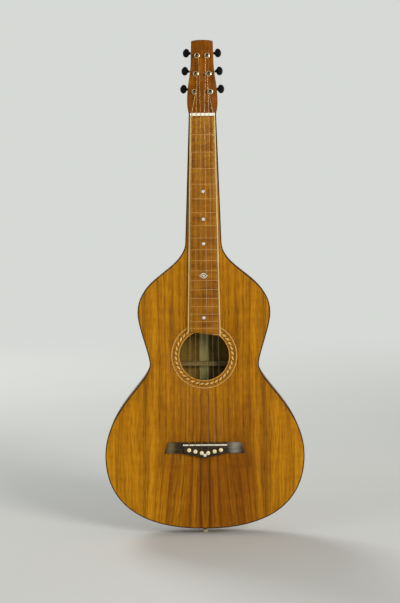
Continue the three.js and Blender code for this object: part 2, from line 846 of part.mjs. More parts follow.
// Where a string leaves the saddle, dips under its pin's head and turns down the pin's groove
function tailRun({ diameter, nutX, pinX, pinZ }) {
  const radius = diameter / 2;
  const crownHeight = saddleTop + slotGap + radius;
  const dipHeight = bridgeHeight - runningGap - radius;
  const dipZ = pinZ + pinHeadRadius + runningGap;
  const drop = Math.atan2(crownHeight - dipHeight, saddleZ - dipZ);
  const crownZ = saddleZ - (slotGap + radius) * Math.tan(drop / 2);
  const slope = (crownHeight - dipHeight) / (crownZ - dipZ);
  const grooveZ = pinZ + pinGrooveFloor + slotGap + radius;
  const grooveHeight = dipHeight - slope * (dipZ - grooveZ);
  const crownX = lerp(nutX, pinX, (nutZ - saddleZ) / (nutZ - pinZ));
  return { radius, crownX, crownZ, crownHeight, slope, grooveZ, grooveHeight };
}

// The slanted slot from the pin hole towards the saddle
function stringRamp(string) {
  const { radius, crownZ, crownHeight, slope, grooveHeight } = tailRun(string);
  const floor = (radius + slotGap) * Math.hypot(1, slope);
  const heightAt = (z) => crownHeight - slope * (crownZ - z) - floor;
  const zAt = (height) => crownZ - (crownHeight - floor - height) / slope;
  const openHeight = bridgeHeight + radius;
  const low = Math.max(glueLine, Math.min(grooveHeight - floor, heightAt(string.pinZ)));
  const outline = new THREE.Shape([
    flat(-low, string.pinZ), flat(-low, zAt(low)),
    flat(-openHeight, zAt(openHeight)), flat(-openHeight, string.pinZ),
  ]);
  return sidePrism(outline, string.diameter + 2 * slotGap, string.pinX);
}

addPart('bridge', cut(
  keepWithin(
    frontPrism(evenShape(bridgeEdge), -bridgeHeight, -glueLine),
    crossPrism(bridgeRise, bridgeZ - bridgePointLength - overrun, bridgeZ + overrun),
  ),
  block(
    -saddleLength / 2 - glueLine, saddleLength / 2 + glueLine, -saddleTop, -saddleFloor + glueLine,
    saddleZ - halfSaddle - glueLine, saddleZ + halfSaddle + glueLine,
  ),
  ...pinHoles(),
  ...strings.map(stringRamp),
), ebony());

addPart('saddle', sidePrism(new THREE.Shape([
  flat(-saddleFloor, saddleZ - halfSaddle), flat(-saddleFloor, saddleZ + halfSaddle),
  flat(saddleFrontDrop - saddleTop, saddleZ + halfSaddle), flat(-saddleTop, saddleZ),
  flat(saddleBackDrop - saddleTop, saddleZ - halfSaddle),
]), saddleLength), bone());

// Bridge pins: domed head on a collar, a tapered shank with a groove for the string

function bridgePin({ pinX, pinZ }) {
  const tipY = pinShankLength - bridgeHeight;
  const headY = -bridgeHeight - pinCollarHeight;
  const profile = [
    flat(0, -bridgeHeight - pinHeadHeight),
    flat(pinHeadRadius / 2, headY - (pinHeadHeight - pinCollarHeight) * Math.sqrt(3) / 2),
    flat(pinHeadRadius, headY),
    flat(pinHeadRadius, -bridgeHeight - glueLine),
    flat(pinTopRadius, -bridgeHeight - glueLine),
    flat(pinTipRadius, tipY - pinTipRounding),
    flat(pinTipRadius - pinTipRounding, tipY),
    flat(0, tipY),
  ];
  const pin = new THREE.LatheGeometry(profile, holeSides);
  const groove = block(
    -pinGrooveWidth / 2, pinGrooveWidth / 2, -bridgeHeight, tipY + overrun,
    pinGrooveFloor, pinHeadRadius + overrun,
  );
  return cut(pin, groove).translate(pinX, 0, pinZ);
}
strings.forEach((string) => addPart(`bridge_pin_${string.name}`, bridgePin(string), ivoroid()));

// End pin, turned: a flange against the tail, a waist for the strap and a rounded end

const endPinSeat = endPinProud - runningGap;
const endPinTop = endPinProud + endPinShankLength;
const endPinEdge = [
  flat(0, 0), flat(endPinRadius - endPinRim, 0), flat(endPinRadius, endPinRim),
  flat(endPinRadius, endPinFlange), flat(endPinWaistRadius, endPinWaistHeight),
  flat(endPinRadius - endPinRim, endPinSeat), flat(endPinShankRadius, endPinSeat),
  flat(endPinTipRadius, endPinTop), flat(0, endPinTop),
];
addPart('end_pin', new THREE.LatheGeometry(endPinEdge, holeSides)
  .rotateX(Math.PI / 2).translate(0, endPinY, 0), bone());

// Headstock, leaning back from the nut, with the block that closes the neck

const head = new THREE.Group();
head.position.set(0, -headStep, headZ);
head.rotation.x = -degToRad(headTilt);
head.updateMatrix();
guitar.add(head);
const fromHead = head.matrix.clone();
const toHead = fromHead.clone().invert();

function headEdge() {
  const start = neckEndWidth / 2;
  const flare = headFlareWidth / 2;
  const straight = headStraightWidth / 2;
  const top = headTopWidth / 2;
  const taper = headStraightDistance - headFlareDistance;
  const cornerZ = headLength - headCrown;
  const swell = new THREE.CubicBezierCurve(
    flat(start, 0),
    flat(lerp(start, flare, flareLeaveShare), headFlareDistance * flareArriveShare),
    flat(flare, headFlareDistance * (1 - flareArriveShare)),
    flat(flare, headFlareDistance),
  );
  const narrowing = new THREE.CubicBezierCurve(
    flat(flare, headFlareDistance),
    flat(flare, headFlareDistance + taperLeaveShare * taper),
    flat(straight, headStraightDistance - taperArriveShare * taper),
    flat(straight, headStraightDistance),
  );
  const crown = new THREE.QuadraticBezierCurve(
    flat(top - headCornerRadius, cornerZ),
    flat((top - headCornerRadius) / 2, headLength),
    flat(0, headLength),
  );
  return [
    flat(start, -overrun),
    ...swell.getPoints(waistSteps),
    ...narrowing.getPoints(shoulderSteps).slice(1),
    flat(top, cornerZ - headCornerRadius),
    ...crown.getPoints(bendSteps),
  ];
}

const tilt = degToRad(headTilt);
const neckBack = headStep + neckDepth;

// Side view of the head in its own frame: face, end grain, back and the fairing down to the neck's back
function headProfile() {
  const fairing = new THREE.QuadraticBezierCurve(
    flat(headThickness, headFairing),
    flat(headThickness, neckBack * Math.sin(tilt) + headFairingLead),
    flat(neckBack * Math.cos(tilt), neckBack * Math.sin(tilt)),
  );
  return new THREE.Shape([
    flat(0, 0), flat(0, headLength), flat(headThickness, headLength), ...fairing.getPoints(waistSteps),
  ]);
}

const tenon = keepWithin(
  frontPrism(bodySection(liningOuter), faceInside, tailDepth),
  bodySlice(faceInside, backInside),
  block(-wide, wide, 0, tailDepth, tenonLow, headZ),
);
const tenonKey = block(
  -tenonKeyWidth / 2, tenonKeyWidth / 2, faceInside, neckDepth / 2, nutZ, headZ + nutThickness,
);

const tuners = strings.map((string) => {
  const splay = degToRad(plateSplay);
  return {
    ...string,
    x: string.side * (firstPostOffset - string.row * postPitch * Math.sin(splay)),
    z: firstPostDistance + string.row * postPitch * Math.cos(splay),
    turn: -string.side * splay,
  };
});
const washers = tuners.map(({ x, z }) => roundY(washerRadius, -washerHeight, headThickness / 2, x, z));
const postHoles = tuners.map(({ x, z }) => roundY(
  postRadius + runningGap, -overrun, headThickness + overrun, x, z,
));
const headBlank = keepWithin(
  frontPrism(evenShape(headEdge()), 0, neckBack + overrun),
  sidePrism(headProfile(), headFlareWidth + overrun),
);
const headSlab = cut(join(headBlank, ...washers), ...postHoles).applyMatrix4(fromHead);
addPart('headstock', join(headSlab, tenon, tenonKey), koaSide());

// Tuning machines, each drawn for the treble side about its post's axis:
// +z runs up its plate, +x out to the button, +y through the head to the back

const toTrebleSide = (geometry, side) => (side < 0 ? geometry.scale(-1, 1, 1) : geometry);

// Tooth outline shared by the wheel and the worm: half widths at the root and at the tip
const flank = Math.tan(degToRad(toothFlankAngle));
const toothHalf = toothWidthShare * wormLead / 2;
const tipHalf = toothHalf - toothAddendum * flank;
const rootHalf = toothHalf + toothDedendum * flank;
const gearPitchRadius = centreDistance - wormPitchRadius;
const leadAngle = Math.atan2(wormLead, 2 * Math.PI * wormPitchRadius);

function wormWheel() {
  const rootRadius = gearPitchRadius - toothDedendum;
  const tipRadius = gearPitchRadius + toothAddendum;
  const outline = [];
  for (let tooth = 0; tooth < toothCount; tooth += 1) {
    const middle = Math.PI / 2 + 2 * Math.PI * (tooth + 1 / 2) / toothCount;
    const corners = [
      [rootRadius, -rootHalf / rootRadius], [tipRadius, -tipHalf / tipRadius],
      [tipRadius, tipHalf / tipRadius], [rootRadius, rootHalf / rootRadius],
    ];
    for (const [radius, off] of corners) {
      outline.push(flat(radius * Math.cos(middle + off), radius * Math.sin(middle + off)));
    }
  }
  const wheel = frontPrism(new THREE.Shape(outline), -gearFaceWidth / 2, gearFaceWidth / 2);
  const twist = Math.tan(leadAngle) / gearPitchRadius;
  const corner = wheel.getAttribute('position');
  for (let at = 0; at < corner.count; at += 1) {
    const point = vertexOf(wheel, at).applyAxisAngle(axisY, -twist * corner.getY(at));
    corner.setXYZ(at, point.x, point.y, point.z);
  }
  return wheel.translate(0, shaftY, 0);
}

// Where the string meets its winding, in the head's own frame
function windingStart({ x, z, nutX, diameter, side }) {
  const radius = postBarrelRadius + windingLift + diameter / 2;
  const nutBack = place(nutX, -nutHeight, headZ).applyMatrix4(toHead);
  const toPost = flat(x - nutBack.x, z - nutBack.z);
  const distance = toPost.length();
  const bearing = toPost.angle() + side * Math.asin(radius / distance);
  const tangent = Math.sqrt(distance ** 2 - radius ** 2);
  return {
    radius,
    nutBack,
    tangent,
    direction: flat(Math.cos(bearing), Math.sin(bearing)),
    angle: bearing + side * Math.PI / 2,
  };
}

// Turns that run down the post towards the head, then in through the post's string hole
function windingPath(tuner) {
  const { radius, angle } = windingStart(tuner);
  const trebleAngle = tuner.side < 0 ? Math.PI - angle : angle;
  const first = trebleAngle + tuner.side * tuner.turn;
  const steps = tuner.turns * windingSteps;
  const pitch = tuner.diameter + windingGap;
  const points = Array.from({ length: steps + 1 }, (_, step) => {
    const turned = first - 2 * Math.PI * step / windingSteps;
    const y = pitch * step / windingSteps - windingTop + tuner.diameter / 2;
    return place(radius * Math.cos(turned), y, radius * Math.sin(turned));
  });
  const end = points[steps];
  return { points, tail: place(0, end.y + pitch / windingSteps, 0) };
}

// Least clear distance between turns, over pairs of points at least half a turn apart
function leastGap(points, diameter) {
  let least = Infinity;
  points.forEach((point, at) => {
    points.slice(at + windingSteps / 2).forEach((other) => {
      least = Math.min(least, point.distanceTo(other) - diameter);
    });
  });
  return least;
}

function stringPost(tuner) {
  const gearBack = shaftY + gearFaceWidth / 2;
  const barrelTop = postHeadHeight - postHeight;
  const post = new THREE.LatheGeometry([
    flat(0, -postHeight),
    flat(postRadius - postTopChamfer, -postHeight),
    flat(postRadius, postTopChamfer - postHeight),
    flat(postRadius, barrelTop - postShoulder),
    flat(postBarrelRadius, barrelTop),
    flat(postBarrelRadius, -postBarrelFoot),
    flat(postRadius, postShoulder - postBarrelFoot),
    flat(postRadius, shaftY),
    flat(gearScrewRadius, shaftY),
    flat(gearScrewRadius, gearBack + gearScrewHeight),
    flat(0, gearBack + gearScrewHeight),
  ], postSides);
  const { points, tail } = windingPath(tuner);
  console.log(`winding ${tuner.name}: least gap ${leastGap(points, tuner.diameter).toFixed(2)} mm`);
  return join(post, wormWheel(), wire([...points, tail], tuner.diameter / 2, stringSides));
}

// Helical thread on the worm, cut off square at both ends
function wormThread() {
  const core = wormPitchRadius - toothDedendum;
  const rings = [];
  const steps = wormTurns * wormSteps;
  for (let step = 0; step <= steps; step += 1) {
    const angle = 2 * Math.PI * (step / wormSteps - wormTurns / 2);
    const x = wormLead * angle / (2 * Math.PI);
    const corners = [
      [core - toothAddendum, -rootHalf], [core, -rootHalf], [wormPitchRadius + toothAddendum, -tipHalf],
      [wormPitchRadius + toothAddendum, tipHalf], [core, rootHalf], [core - toothAddendum, rootHalf],
    ];
    rings.push(corners.map(([radius, off]) => place(
      x + off, -radius * Math.sin(angle), -radius * Math.cos(angle),
    )));
  }
  return loft(rings);
}

function roundX(radius, lowX, highX, count = shaftSides) {
  return new THREE.CylinderGeometry(radius, radius, highX - lowX, count)
    .rotateZ(Math.PI / 2).translate((lowX + highX) / 2, 0, 0);
}

const wormHalf = wormTurns * wormLead / 2 + rootHalf;
const earInner = wormHalf + earGap;
const earOuter = earInner + earThickness;

function tunerShaft() {
  const buttonX = buttonReach - buttonLength / 2;
  const button = new THREE.SphereGeometry(1, buttonSides, buttonSides / 2).rotateZ(Math.PI / 2)
    .scale(buttonLength / 2, buttonThickness / 2, buttonWidth / 2).translate(buttonReach, 0, 0);
  return join(
    roundX(wormPitchRadius - toothDedendum, -wormHalf, wormHalf, wormSteps),
    wormThread(),
    roundX(shaftRadius, -earOuter - shaftEndLength, buttonReach),
    roundX(buttonCollarRadius, buttonX - buttonCollarLength / 2, buttonX + buttonCollarLength),
    button,
  ).translate(0, shaftY, centreDistance);
}

for (const tuner of tuners) {
  const machine = new THREE.Group();
  machine.position.set(tuner.x, 0, tuner.z);
  machine.rotation.y = tuner.turn;
  head.add(machine);
  addPart(`string_post_${tuner.name}`, toTrebleSide(stringPost(tuner), tuner.side), nickel(), machine);
  addPart(`tuner_shaft_${tuner.name}`, toTrebleSide(tunerShaft(), tuner.side), blackButton(), machine);
}

// One plate carries three machines: a strip with bearing ears bent up on both sides of each worm

function ear(lowX) {
  const shape = new THREE.Shape();
  shape.moveTo(plateBackY - plateThickness / 2, -earRadius);
  shape.lineTo(shaftY, -earRadius);
  shape.absarc(shaftY, 0, earRadius, -Math.PI / 2, Math.PI / 2, false);
  shape.lineTo(plateBackY - plateThickness / 2, earRadius);
  const outline = new THREE.Shape(shape.getPoints(holeSides / 2));
  return sidePrism(outline, earThickness, lowX + earThickness / 2);
}

const shaftHole = () => roundX(shaftRadius + runningGap, -earOuter - overrun, earOuter + overrun)
  .translate(0, shaftY, 0);

function tunerPlate() {
  const runs = Array.from({ length: tunersOnPlate }, (_, row) => row * postPitch);
  const plate = block(
    -plateInnerWidth, plateOuterWidth, plateBackY - plateThickness, plateBackY,
    -plateNutMargin, runs[tunersOnPlate - 1] + plateTopMargin,
  );
  const ears = runs.flatMap((z) => [-earOuter, earInner].map(
    (lowX) => ear(lowX).translate(0, 0, z + centreDistance),
  ));
  const postBores = runs.map((z) => roundY(postRadius + runningGap, 0, shaftY, 0, z));
  const shaftBores = runs.map((z) => shaftHole().translate(0, 0, z + centreDistance));
  return cut(join(plate, ...ears), ...postBores, ...shaftBores);
}

for (const { side, word } of bothSides) {
  const seat = new THREE.Group();
  seat.position.set(side * firstPostOffset, 0, firstPostDistance);
  seat.rotation.y = -side * degToRad(plateSplay);
  head.add(seat);
  addPart(`tuner_plate_${word}`, toTrebleSide(tunerPlate(), side), nickel(), seat);
}

// Strings: from beside the winding over the nut and saddle, down the pin's groove to the ball end

function stringPath(tuner) {
  const { radius, crownX, crownZ, crownHeight, grooveZ, grooveHeight } = tailRun(tuner);
  const start = windingStart(tuner);
  const clear = Math.sqrt((start.radius + radius + runningGap) ** 2 - (start.radius - radius) ** 2);
  const share = 1 - clear / start.tangent;
  const from = start.nutBack;
  const postEnd = place(
    from.x + start.direction.x * start.tangent * share,
    lerp(from.y, radius - windingTop, share),
    from.z + start.direction.y * start.tangent * share,
  ).applyMatrix4(fromHead);
  const plateExit = bridgePlateBack + runningGap + radius;
  const ballY = bridgePlateBack + runningGap + ballRadius;
  const ballZ = tuner.pinZ + pinTopRadius + runningGap + ballRadius;
  return {
    points: [
      postEnd,
      place(tuner.nutX, -nutHeight, headZ),
      place(tuner.nutX, -nutHeight, nutZ),
      place(crownX, -crownHeight, crownZ),
      place(tuner.pinX, -grooveHeight, grooveZ),
      place(tuner.pinX, plateExit, grooveZ),
      place(tuner.pinX, ballY, ballZ),
    ],
    ball: place(tuner.pinX, ballY, ballZ),
  };
}

for (const tuner of tuners) {
  const { points, ball } = stringPath(tuner);
  const ballEnd = new THREE.SphereGeometry(ballRadius, ballSides, ballRings)
    .translate(ball.x, ball.y, ball.z);
  const wound = tuner.side < 0;
  addPart(`string_${tuner.name}`, join(wire(points, tuner.diameter / 2, stringSides), ballEnd),
    wound ? bronzeWire() : steelWire());
}

guitar.position.y = -depthCentre;

export default guitar;
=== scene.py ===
import math
from functools import partial

import bmesh
import bpy
from mathutils import Matrix, Vector
from mathutils.geometry import interpolate_bezier


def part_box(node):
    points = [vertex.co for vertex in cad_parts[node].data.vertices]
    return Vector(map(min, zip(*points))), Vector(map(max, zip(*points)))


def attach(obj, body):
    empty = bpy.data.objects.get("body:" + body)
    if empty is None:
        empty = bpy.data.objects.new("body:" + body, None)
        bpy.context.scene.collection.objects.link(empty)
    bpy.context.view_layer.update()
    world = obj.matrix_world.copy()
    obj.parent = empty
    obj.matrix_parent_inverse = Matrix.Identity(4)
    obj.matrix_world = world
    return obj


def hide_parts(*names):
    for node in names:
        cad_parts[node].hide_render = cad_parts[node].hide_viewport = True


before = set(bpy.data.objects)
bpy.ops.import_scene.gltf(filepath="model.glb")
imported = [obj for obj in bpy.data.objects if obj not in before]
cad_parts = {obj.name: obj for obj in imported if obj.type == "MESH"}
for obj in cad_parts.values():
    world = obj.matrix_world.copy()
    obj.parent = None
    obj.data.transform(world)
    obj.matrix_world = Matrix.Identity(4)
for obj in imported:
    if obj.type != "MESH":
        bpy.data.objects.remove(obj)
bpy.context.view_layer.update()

# A lap-played koa guitar, standing on its end pin. Sizes are in millimetres, and heights
# count from the body's lowest edge and depths from the soundboard's face.
mm = 0.001
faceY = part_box("soundboard")[0].y
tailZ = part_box("back")[0].z
sides = ((-1, "Bass"), (1, "Treble"))


def spot(across, depth, height):
    return Vector((across * mm, faceY + depth * mm, tailZ + height * mm))


def heightOf(point):
    return (point.z - tailZ) / mm


def lerp(low, high, share):
    return low + (high - low) * share


# A value on a curve from start to finish that is drawn towards a control value
def bend(start, control, finish, share):
    return (1 - share) ** 2 * start + 2 * share * (1 - share) * control + share ** 2 * finish


# The outline's widths and heights from tail to nut. Its curves leave one and reach the next
# along the guitar, by shares of the rise between the two.
body = {
    "lowerBout": (390, 144.5),
    "waist": (212.6, 324.8),
    "upperBout": (258.6, 425.9),
    "shoulder": (70.2, 562.3),
    "neckEnd": (52.6, 811.3),
    "tailRoundShare": 0.876,
    "tailRiseShare": 0.626,
    "leaveShares": (0.511, 0.194, 0.513),
    "arriveShares": (0.2, 0.285, 0.4),
    "curveSteps": 22,
    "tailDepth": 78,
    "shoulderDepth": 61,
    "neckDepth": 31,
    "bendLength": 45,
    "bendCuts": 12,
    "plate": 2.8,
    "side": 2.4,
    "backRound": 1.1,
    "bindingWidth": 1.9,
    "bindingDepth": 4.5,
    "bindingRound": 0.7,
    "glueLine": 0.1,
}
scale = {
    "length": 635, "nut": 805.9, "saddle": 167.1, "bridge": 171.5, "soundhole": 341.4, "holeRadius": 48.2,
}

# Materials

smooth = {"interpolation_type": "SMOOTHSTEP"}


# A colour written as sRGB hex, as linear numbers
def tone(code):
    parts = [int(code[at:at + 2], 16) / 255 for at in (0, 2, 4)]
    return (*[part / 12.92 if part <= 0.04045 else ((part + 0.055) / 1.055) ** 2.4 for part in parts], 1)


# Adds a node with its settings and its links or values, and gives back one of its outputs.
# Every mix is one of colours: input 0 is the share, and 6 and 7 are the two colours. In a range,
# 0 is the value, 1 and 2 are its limits, and 3 and 4 are what they become.
def addNode(tree, kind, inputs, out=0, **settings):
    node = tree.nodes.new("ShaderNode" + kind)
    if kind == "Mix":
        settings["data_type"] = "RGBA"
        out = 2
    for name, value in settings.items():
        setattr(node, name, value)
    for socket, value in inputs.items():
        if isinstance(value, bpy.types.NodeSocket):
            tree.links.new(value, node.inputs[socket])
        else:
            node.inputs[socket].default_value = value
    return node.outputs[out]


def newMaterial(name, values):
    material = bpy.data.materials.new(name)
    material.use_nodes = True
    for socket, value in values.items():
        material.node_tree.nodes["Principled BSDF"].inputs[socket].default_value = value
    return material, partial(addNode, material.node_tree)


def linkShader(material, outputs):
    tree = material.node_tree
    for socket, output in outputs.items():
        tree.links.new(output, tree.nodes["Principled BSDF"].inputs[socket])
    return material


# Noise with so many features per metre across, through and along
def pattern(add, place, perMetre, detail=2.0, rough=0.5):
    stretched = add("VectorMath", {0: place, 1: perMetre}, operation="MULTIPLY")
    return add("TexNoise", {"Vector": stretched, "Scale": 1.0, "Detail": detail, "Roughness": rough})


def distanceFrom(add, place, middle):
    off = add("Math", {0: place, 1: middle * mm}, operation="SUBTRACT")
    return add("Math", {0: off}, operation="ABSOLUTE")


koaLook = {
    "booked": False, "run": None, "fan": 0, "bands": (), "heart": 0, "wander": 4, "roughness": 0.42,
    "gloss": 0.25, "coat": 0.08, "clouds": 1.0, "streaks": 0.9, "fibres": 0.75, "curl": 0.6, "range": 0.16,
    "lines": 0.45, "pores": 0.4,
}
# Features per metre across, through and along, then the detail and roughness of the noise
koaLayers = {
    "clouds": ((17, 4, 4.5),),  # tone changes, 60 by 200 mm
    "streaks": ((85, 12, 2.6), 3.0, 0.6),  # growth bands, 5 to 15 mm
    "lines": ((210, 30, 4.5), 2.0, 0.6),  # thin brown lines, about 4 mm
    "fibres": ((430, 60, 24), 2.0, 0.75),  # bundles, drawn 3 mm wide so that they show
    "curl": ((26, 20, 88), 2.0, 0.6),  # cross figure, about 13 mm from crest to crest
    "pores": ((760, 100, 42), 1.0),  # drawn twice their real width so that they show
}


# Koa, quarter to flat sawn, filled and brushed with thin lacquer: straight golden grain along
# the length, brown streaks, a faint cross curl and short open pores. The lacquer is worn thin, so
# it throws back little light.
def koaMaterial(name, changes):
    look = koaLook | changes
    material, add = newMaterial(name, {
        "Roughness": look["roughness"], "IOR": 1.48, "Specular IOR Level": look["gloss"],
        "Coat Weight": look["coat"], "Coat Roughness": 0.2,
    })
    if look["run"]:
        place = add("UVMap", {}, uv_map=look["run"])
        along, side, depth = add("SeparateXYZ", {0: place}).node.outputs
    else:
        place = add("TexCoord", {}, out="Object")
        side, depth, along = add("SeparateXYZ", {0: place}).node.outputs
    across = add("Math", {0: side}, operation="ABSOLUTE") if look["booked"] else side
    if look["fan"]:
        # The middle streaks spread like a fan below the bridge
        near, far = [reach * mm for reach in look["fanReach"]]
        drop = add("Math", {0: tailZ + scale["bridge"] * mm, 1: along}, operation="SUBTRACT")
        drop = add("Math", {0: drop, 1: 0.0}, operation="MAXIMUM")
        share = add("MapRange", {0: across, 1: near, 2: far, 3: -look["fan"], 4: 0.0}, **smooth)
        spread = add("Math", {0: drop, 1: share}, operation="MULTIPLY")
        across = add("Math", {0: spread, 1: across, 2: across}, operation="MULTIPLY_ADD")
    # The grain lines wander by a few millimetres over a hand's width
    slow = add("CombineXYZ", {0: across, 1: depth, 2: along})
    wander = add("TexNoise", {"Vector": slow, "Scale": 8.0, "Detail": 2.0})
    wander = add("MapRange", {0: wander, 3: -look["wander"] * mm, 4: look["wander"] * mm})
    line = add("Math", {0: across, 1: wander}, operation="ADD")
    grain = add("CombineXYZ", {0: line, 1: depth, 2: along})

    layers = {layer: pattern(add, grain, *values) for layer, values in koaLayers.items()}
    streaks, fibres = layers["streaks"], layers["fibres"]
    mixed, total = 0.0, 0.0
    for layer in ("clouds", "streaks", "fibres", "curl"):
        mixed = add("Math", {0: layers[layer], 1: look[layer], 2: mixed}, operation="MULTIPLY_ADD")
        total += look[layer]
    middle, reach = total / 2, look["range"] * total
    lower = add("MapRange", {0: mixed, 1: middle - reach, 2: middle})
    upper = add("MapRange", {0: mixed, 1: middle, 2: middle + reach})
    thin = add("MapRange", {0: layers["lines"], 1: 0.55, 2: 0.7, 3: 0.0, 4: look["lines"]})
    colour = tone(look["dark"])
    for share, over in ((lower, "mid"), (upper, "light"), (thin, "streak")):
        colour = add("Mix", {0: share, 6: colour, 7: tone(look[over])})

    # Brown streaks at set distances from the middle, stronger and weaker along their length
    for distance, width, strength in look["bands"]:
        off = distanceFrom(add, line, distance)
        band = add("MapRange", {0: off, 1: 0.0, 2: width * mm, 3: strength, 4: 0.0}, **smooth)
        broken = add("MapRange", {0: streaks, 1: 0.3, 2: 0.6, 3: 0.35, 4: 1.0})
        band = add("Math", {0: band, 1: broken}, operation="MULTIPLY")
        colour = add("Mix", {0: band, 6: colour, 7: tone(look["streak"])})
    if look["heart"]:
        # Browner heartwood in the middle of the plate, most of all below the soundhole
        near, far = [reach * mm for reach in look["heartReach"]]
        low, high = [tailZ + height * mm for height in look["heartHeights"]]
        edge = distanceFrom(add, side, look["heartMiddle"])
        edge = add("Math", {0: streaks, 1: 0.12, 2: edge}, operation="MULTIPLY_ADD")
        inside = add("MapRange", {0: edge, 1: near, 2: far, 3: 1.0, 4: 0.0}, **smooth)
        below = add("MapRange", {0: along, 1: low, 2: high, 3: look["heart"], 4: look["heart"] * 0.15})
        share = add("Math", {0: inside, 1: below}, operation="MULTIPLY")
        colour = add("Mix", {0: share, 6: colour, 7: tone(look["heartTone"])}, blend_type="MULTIPLY")
    pore = add("MapRange", {0: layers["pores"], 1: 0.6, 2: 0.7, 3: 0.0, 4: look["pores"]})
    colour = add("Mix", {0: pore, 6: colour, 7: tone(look["streak"])})
    rough = add("MapRange", {0: fibres, 3: look["roughness"] - 0.06, 4: look["roughness"] + 0.08})
    relief = add("Math", {0: fibres, 1: pore}, operation="SUBTRACT")
    bump = add("Bump", {"Height": relief, "Strength": 0.15, "Distance": 0.0002})
    return linkShader(material, {"Base Color": colour, "Roughness": rough, "Normal": bump})


topKoa = koaMaterial("lacqueredKoaTop", {
    "booked": True, "fan": 1.9, "fanReach": (50, 140), "wander": 4.5,
    "roughness": 0.45, "gloss": 0.09, "coat": 0.0,
    "clouds": 0.7, "streaks": 1.0, "fibres": 1.1, "curl": 0.35, "range": 0.14, "lines": 0.55, "pores": 0.45,
    "dark": "7a4a05", "mid": "a96e04", "light": "c68b0c", "streak": "422609",
    "bands": ((117, 5, 0.4), (114.6, 2, 0.5), (119.5, 1.8, 0.35), (88, 3, 0.35), (76, 2.5, 0.4),
              (60, 2.5, 0.4), (48, 3, 0.4), (37, 2.5, 0.5), (22, 3, 0.5), (7, 4, 0.5)),
    "heart": 1.0, "heartMiddle": 27, "heartReach": (95, 205), "heartHeights": (130, 300),
    "heartTone": "c6b394",
})
backKoa = koaMaterial("lacqueredKoaBack", {
    "booked": True, "dark": "5c3607", "mid": "8a5408", "light": "ad7010", "streak": "3c2106",
    "bands": ((16, 8, 0.4), (72, 6, 0.35), (118, 5, 0.3)),
})
# The sides are coloured darker than the top: partly their own darker koa, partly painted shade for the shade
# they stand in
sideKoa = koaMaterial("lacqueredKoaSide", {
    "run": "run", "wander": 3, "dark": "472a08", "mid": "6d430a", "light": "8c5c12", "streak": "301b06",
})
headKoa = koaMaterial("lacqueredKoaHead", {
    "wander": 1.5, "roughness": 0.45, "gloss": 0.08, "coat": 0.0,
    "clouds": 0.6, "fibres": 1.1, "range": 0.13, "lines": 0.5,
    "dark": "4b2a03", "mid": "753f01", "light": "9e5c05", "streak": "301905",
})
boardKoa = koaMaterial("oiledKoaFretboard", {
    "wander": 1, "roughness": 0.48, "gloss": 0.12, "coat": 0.0,
    "clouds": 0.5, "streaks": 0.7, "fibres": 0.7, "curl": 1.3, "range": 0.13, "lines": 0.4,
    "dark": "6c3f07", "mid": "925a0b", "light": "ab7412", "streak": "482808",
})
# The inside faces are planed and left bare, and years of dust have greyed them
insideKoa = koaMaterial("dustyKoaInside", {
    "booked": True, "roughness": 0.8, "gloss": 0.1, "coat": 0.0,
    "clouds": 0.8, "fibres": 0.7, "curl": 0.4, "range": 0.18, "lines": 0.3, "pores": 0.3,
    "dark": "4a3915", "mid": "745c27", "light": "907536", "streak": "2a1e0b",
})


# Plain timbers and inlays: one colour with a second along the grain
def grainMaterial(name, look):
    material, add = newMaterial(name, {
        "Roughness": look["roughness"], "Specular IOR Level": look.get("gloss", 0.3),
        "Coat Weight": look.get("coat", 0.0), "Coat Roughness": 0.2,
    })
    place = add("TexCoord", {}, out="Object")
    turned = add("Mapping", {"Vector": place, "Rotation": look.get("turn", (0, 0, 0))})
    rings = pattern(add, turned, look["perMetre"], 3.0, 0.6)
    share = add("MapRange", {0: rings, 1: 0.32, 2: 0.68})
    colour = add("Mix", {0: share, 6: tone(look["dark"]), 7: tone(look["light"])})
    bump = add("Bump", {"Height": rings, "Strength": look.get("relief", 0.1), "Distance": 0.0002})
    return linkShader(material, {"Base Color": colour, "Normal": bump})


# Spruce, planed and left bare, with growth lines every 1.5 mm along each bar. The bars across the
# back are browned by dust, and the strip between them stays pale.
spruceAcross = grainMaterial("planedSpruceBrace", {
    "roughness": 0.7, "perMetre": (10, 500, 650), "dark": "63532b", "light": "83703d"})
spruceAlong = grainMaterial("planedSpruceStrip", {
    "roughness": 0.7, "perMetre": (650, 500, 10), "dark": "7d7442", "light": "a59b60"})
spruceRising, spruceFalling = [grainMaterial(name, {
    "roughness": 0.7, "perMetre": (10, 500, 650), "turn": (0, math.radians(turn), 0),
    "dark": "a37e45", "light": "c9a56a"}) for name, turn in (
    ("planedSpruceTrebleArm", 45), ("planedSpruceBassArm", -45))]
# Mahogany, sawn and left bare: open brown grain
mahogany = grainMaterial("sawnMahogany", {
    "roughness": 0.72, "perMetre": (12, 300, 480), "dark": "5d331b", "light": "86502c", "relief": 0.3})
# Rosewood, scraped flush and lacquered with the body: nearly black with brown lines
rosewood = grainMaterial("lacqueredRosewood", {
    "roughness": 0.5, "gloss": 0.1, "perMetre": (260, 260, 18), "dark": "120a04", "light": "2a1a0a"})
# Hardwood inlays, cut fine: two pale ones yellowed by the lacquer over them, and one dyed dark
inlayWood, ringWood, dyedWood = [grainMaterial(name, {
    "roughness": 0.4, "perMetre": (380, 380, 380), "dark": dark, "light": light}) for name, dark, light in (
    ("yellowedInlayWood", "c08c34", "e6bd66"),
    ("yellowedRingWood", "b98632", "e2b262"),
    ("dyedInlayWood", "2c1a06", "55380f"))]
# Frets inlaid flush as strips of pale wood, scraped level with the board
fretWood = grainMaterial("flushFretStrip", {
    "roughness": 0.42, "perMetre": (60, 400, 900), "dark": "a27534", "light": "bb8c46"})
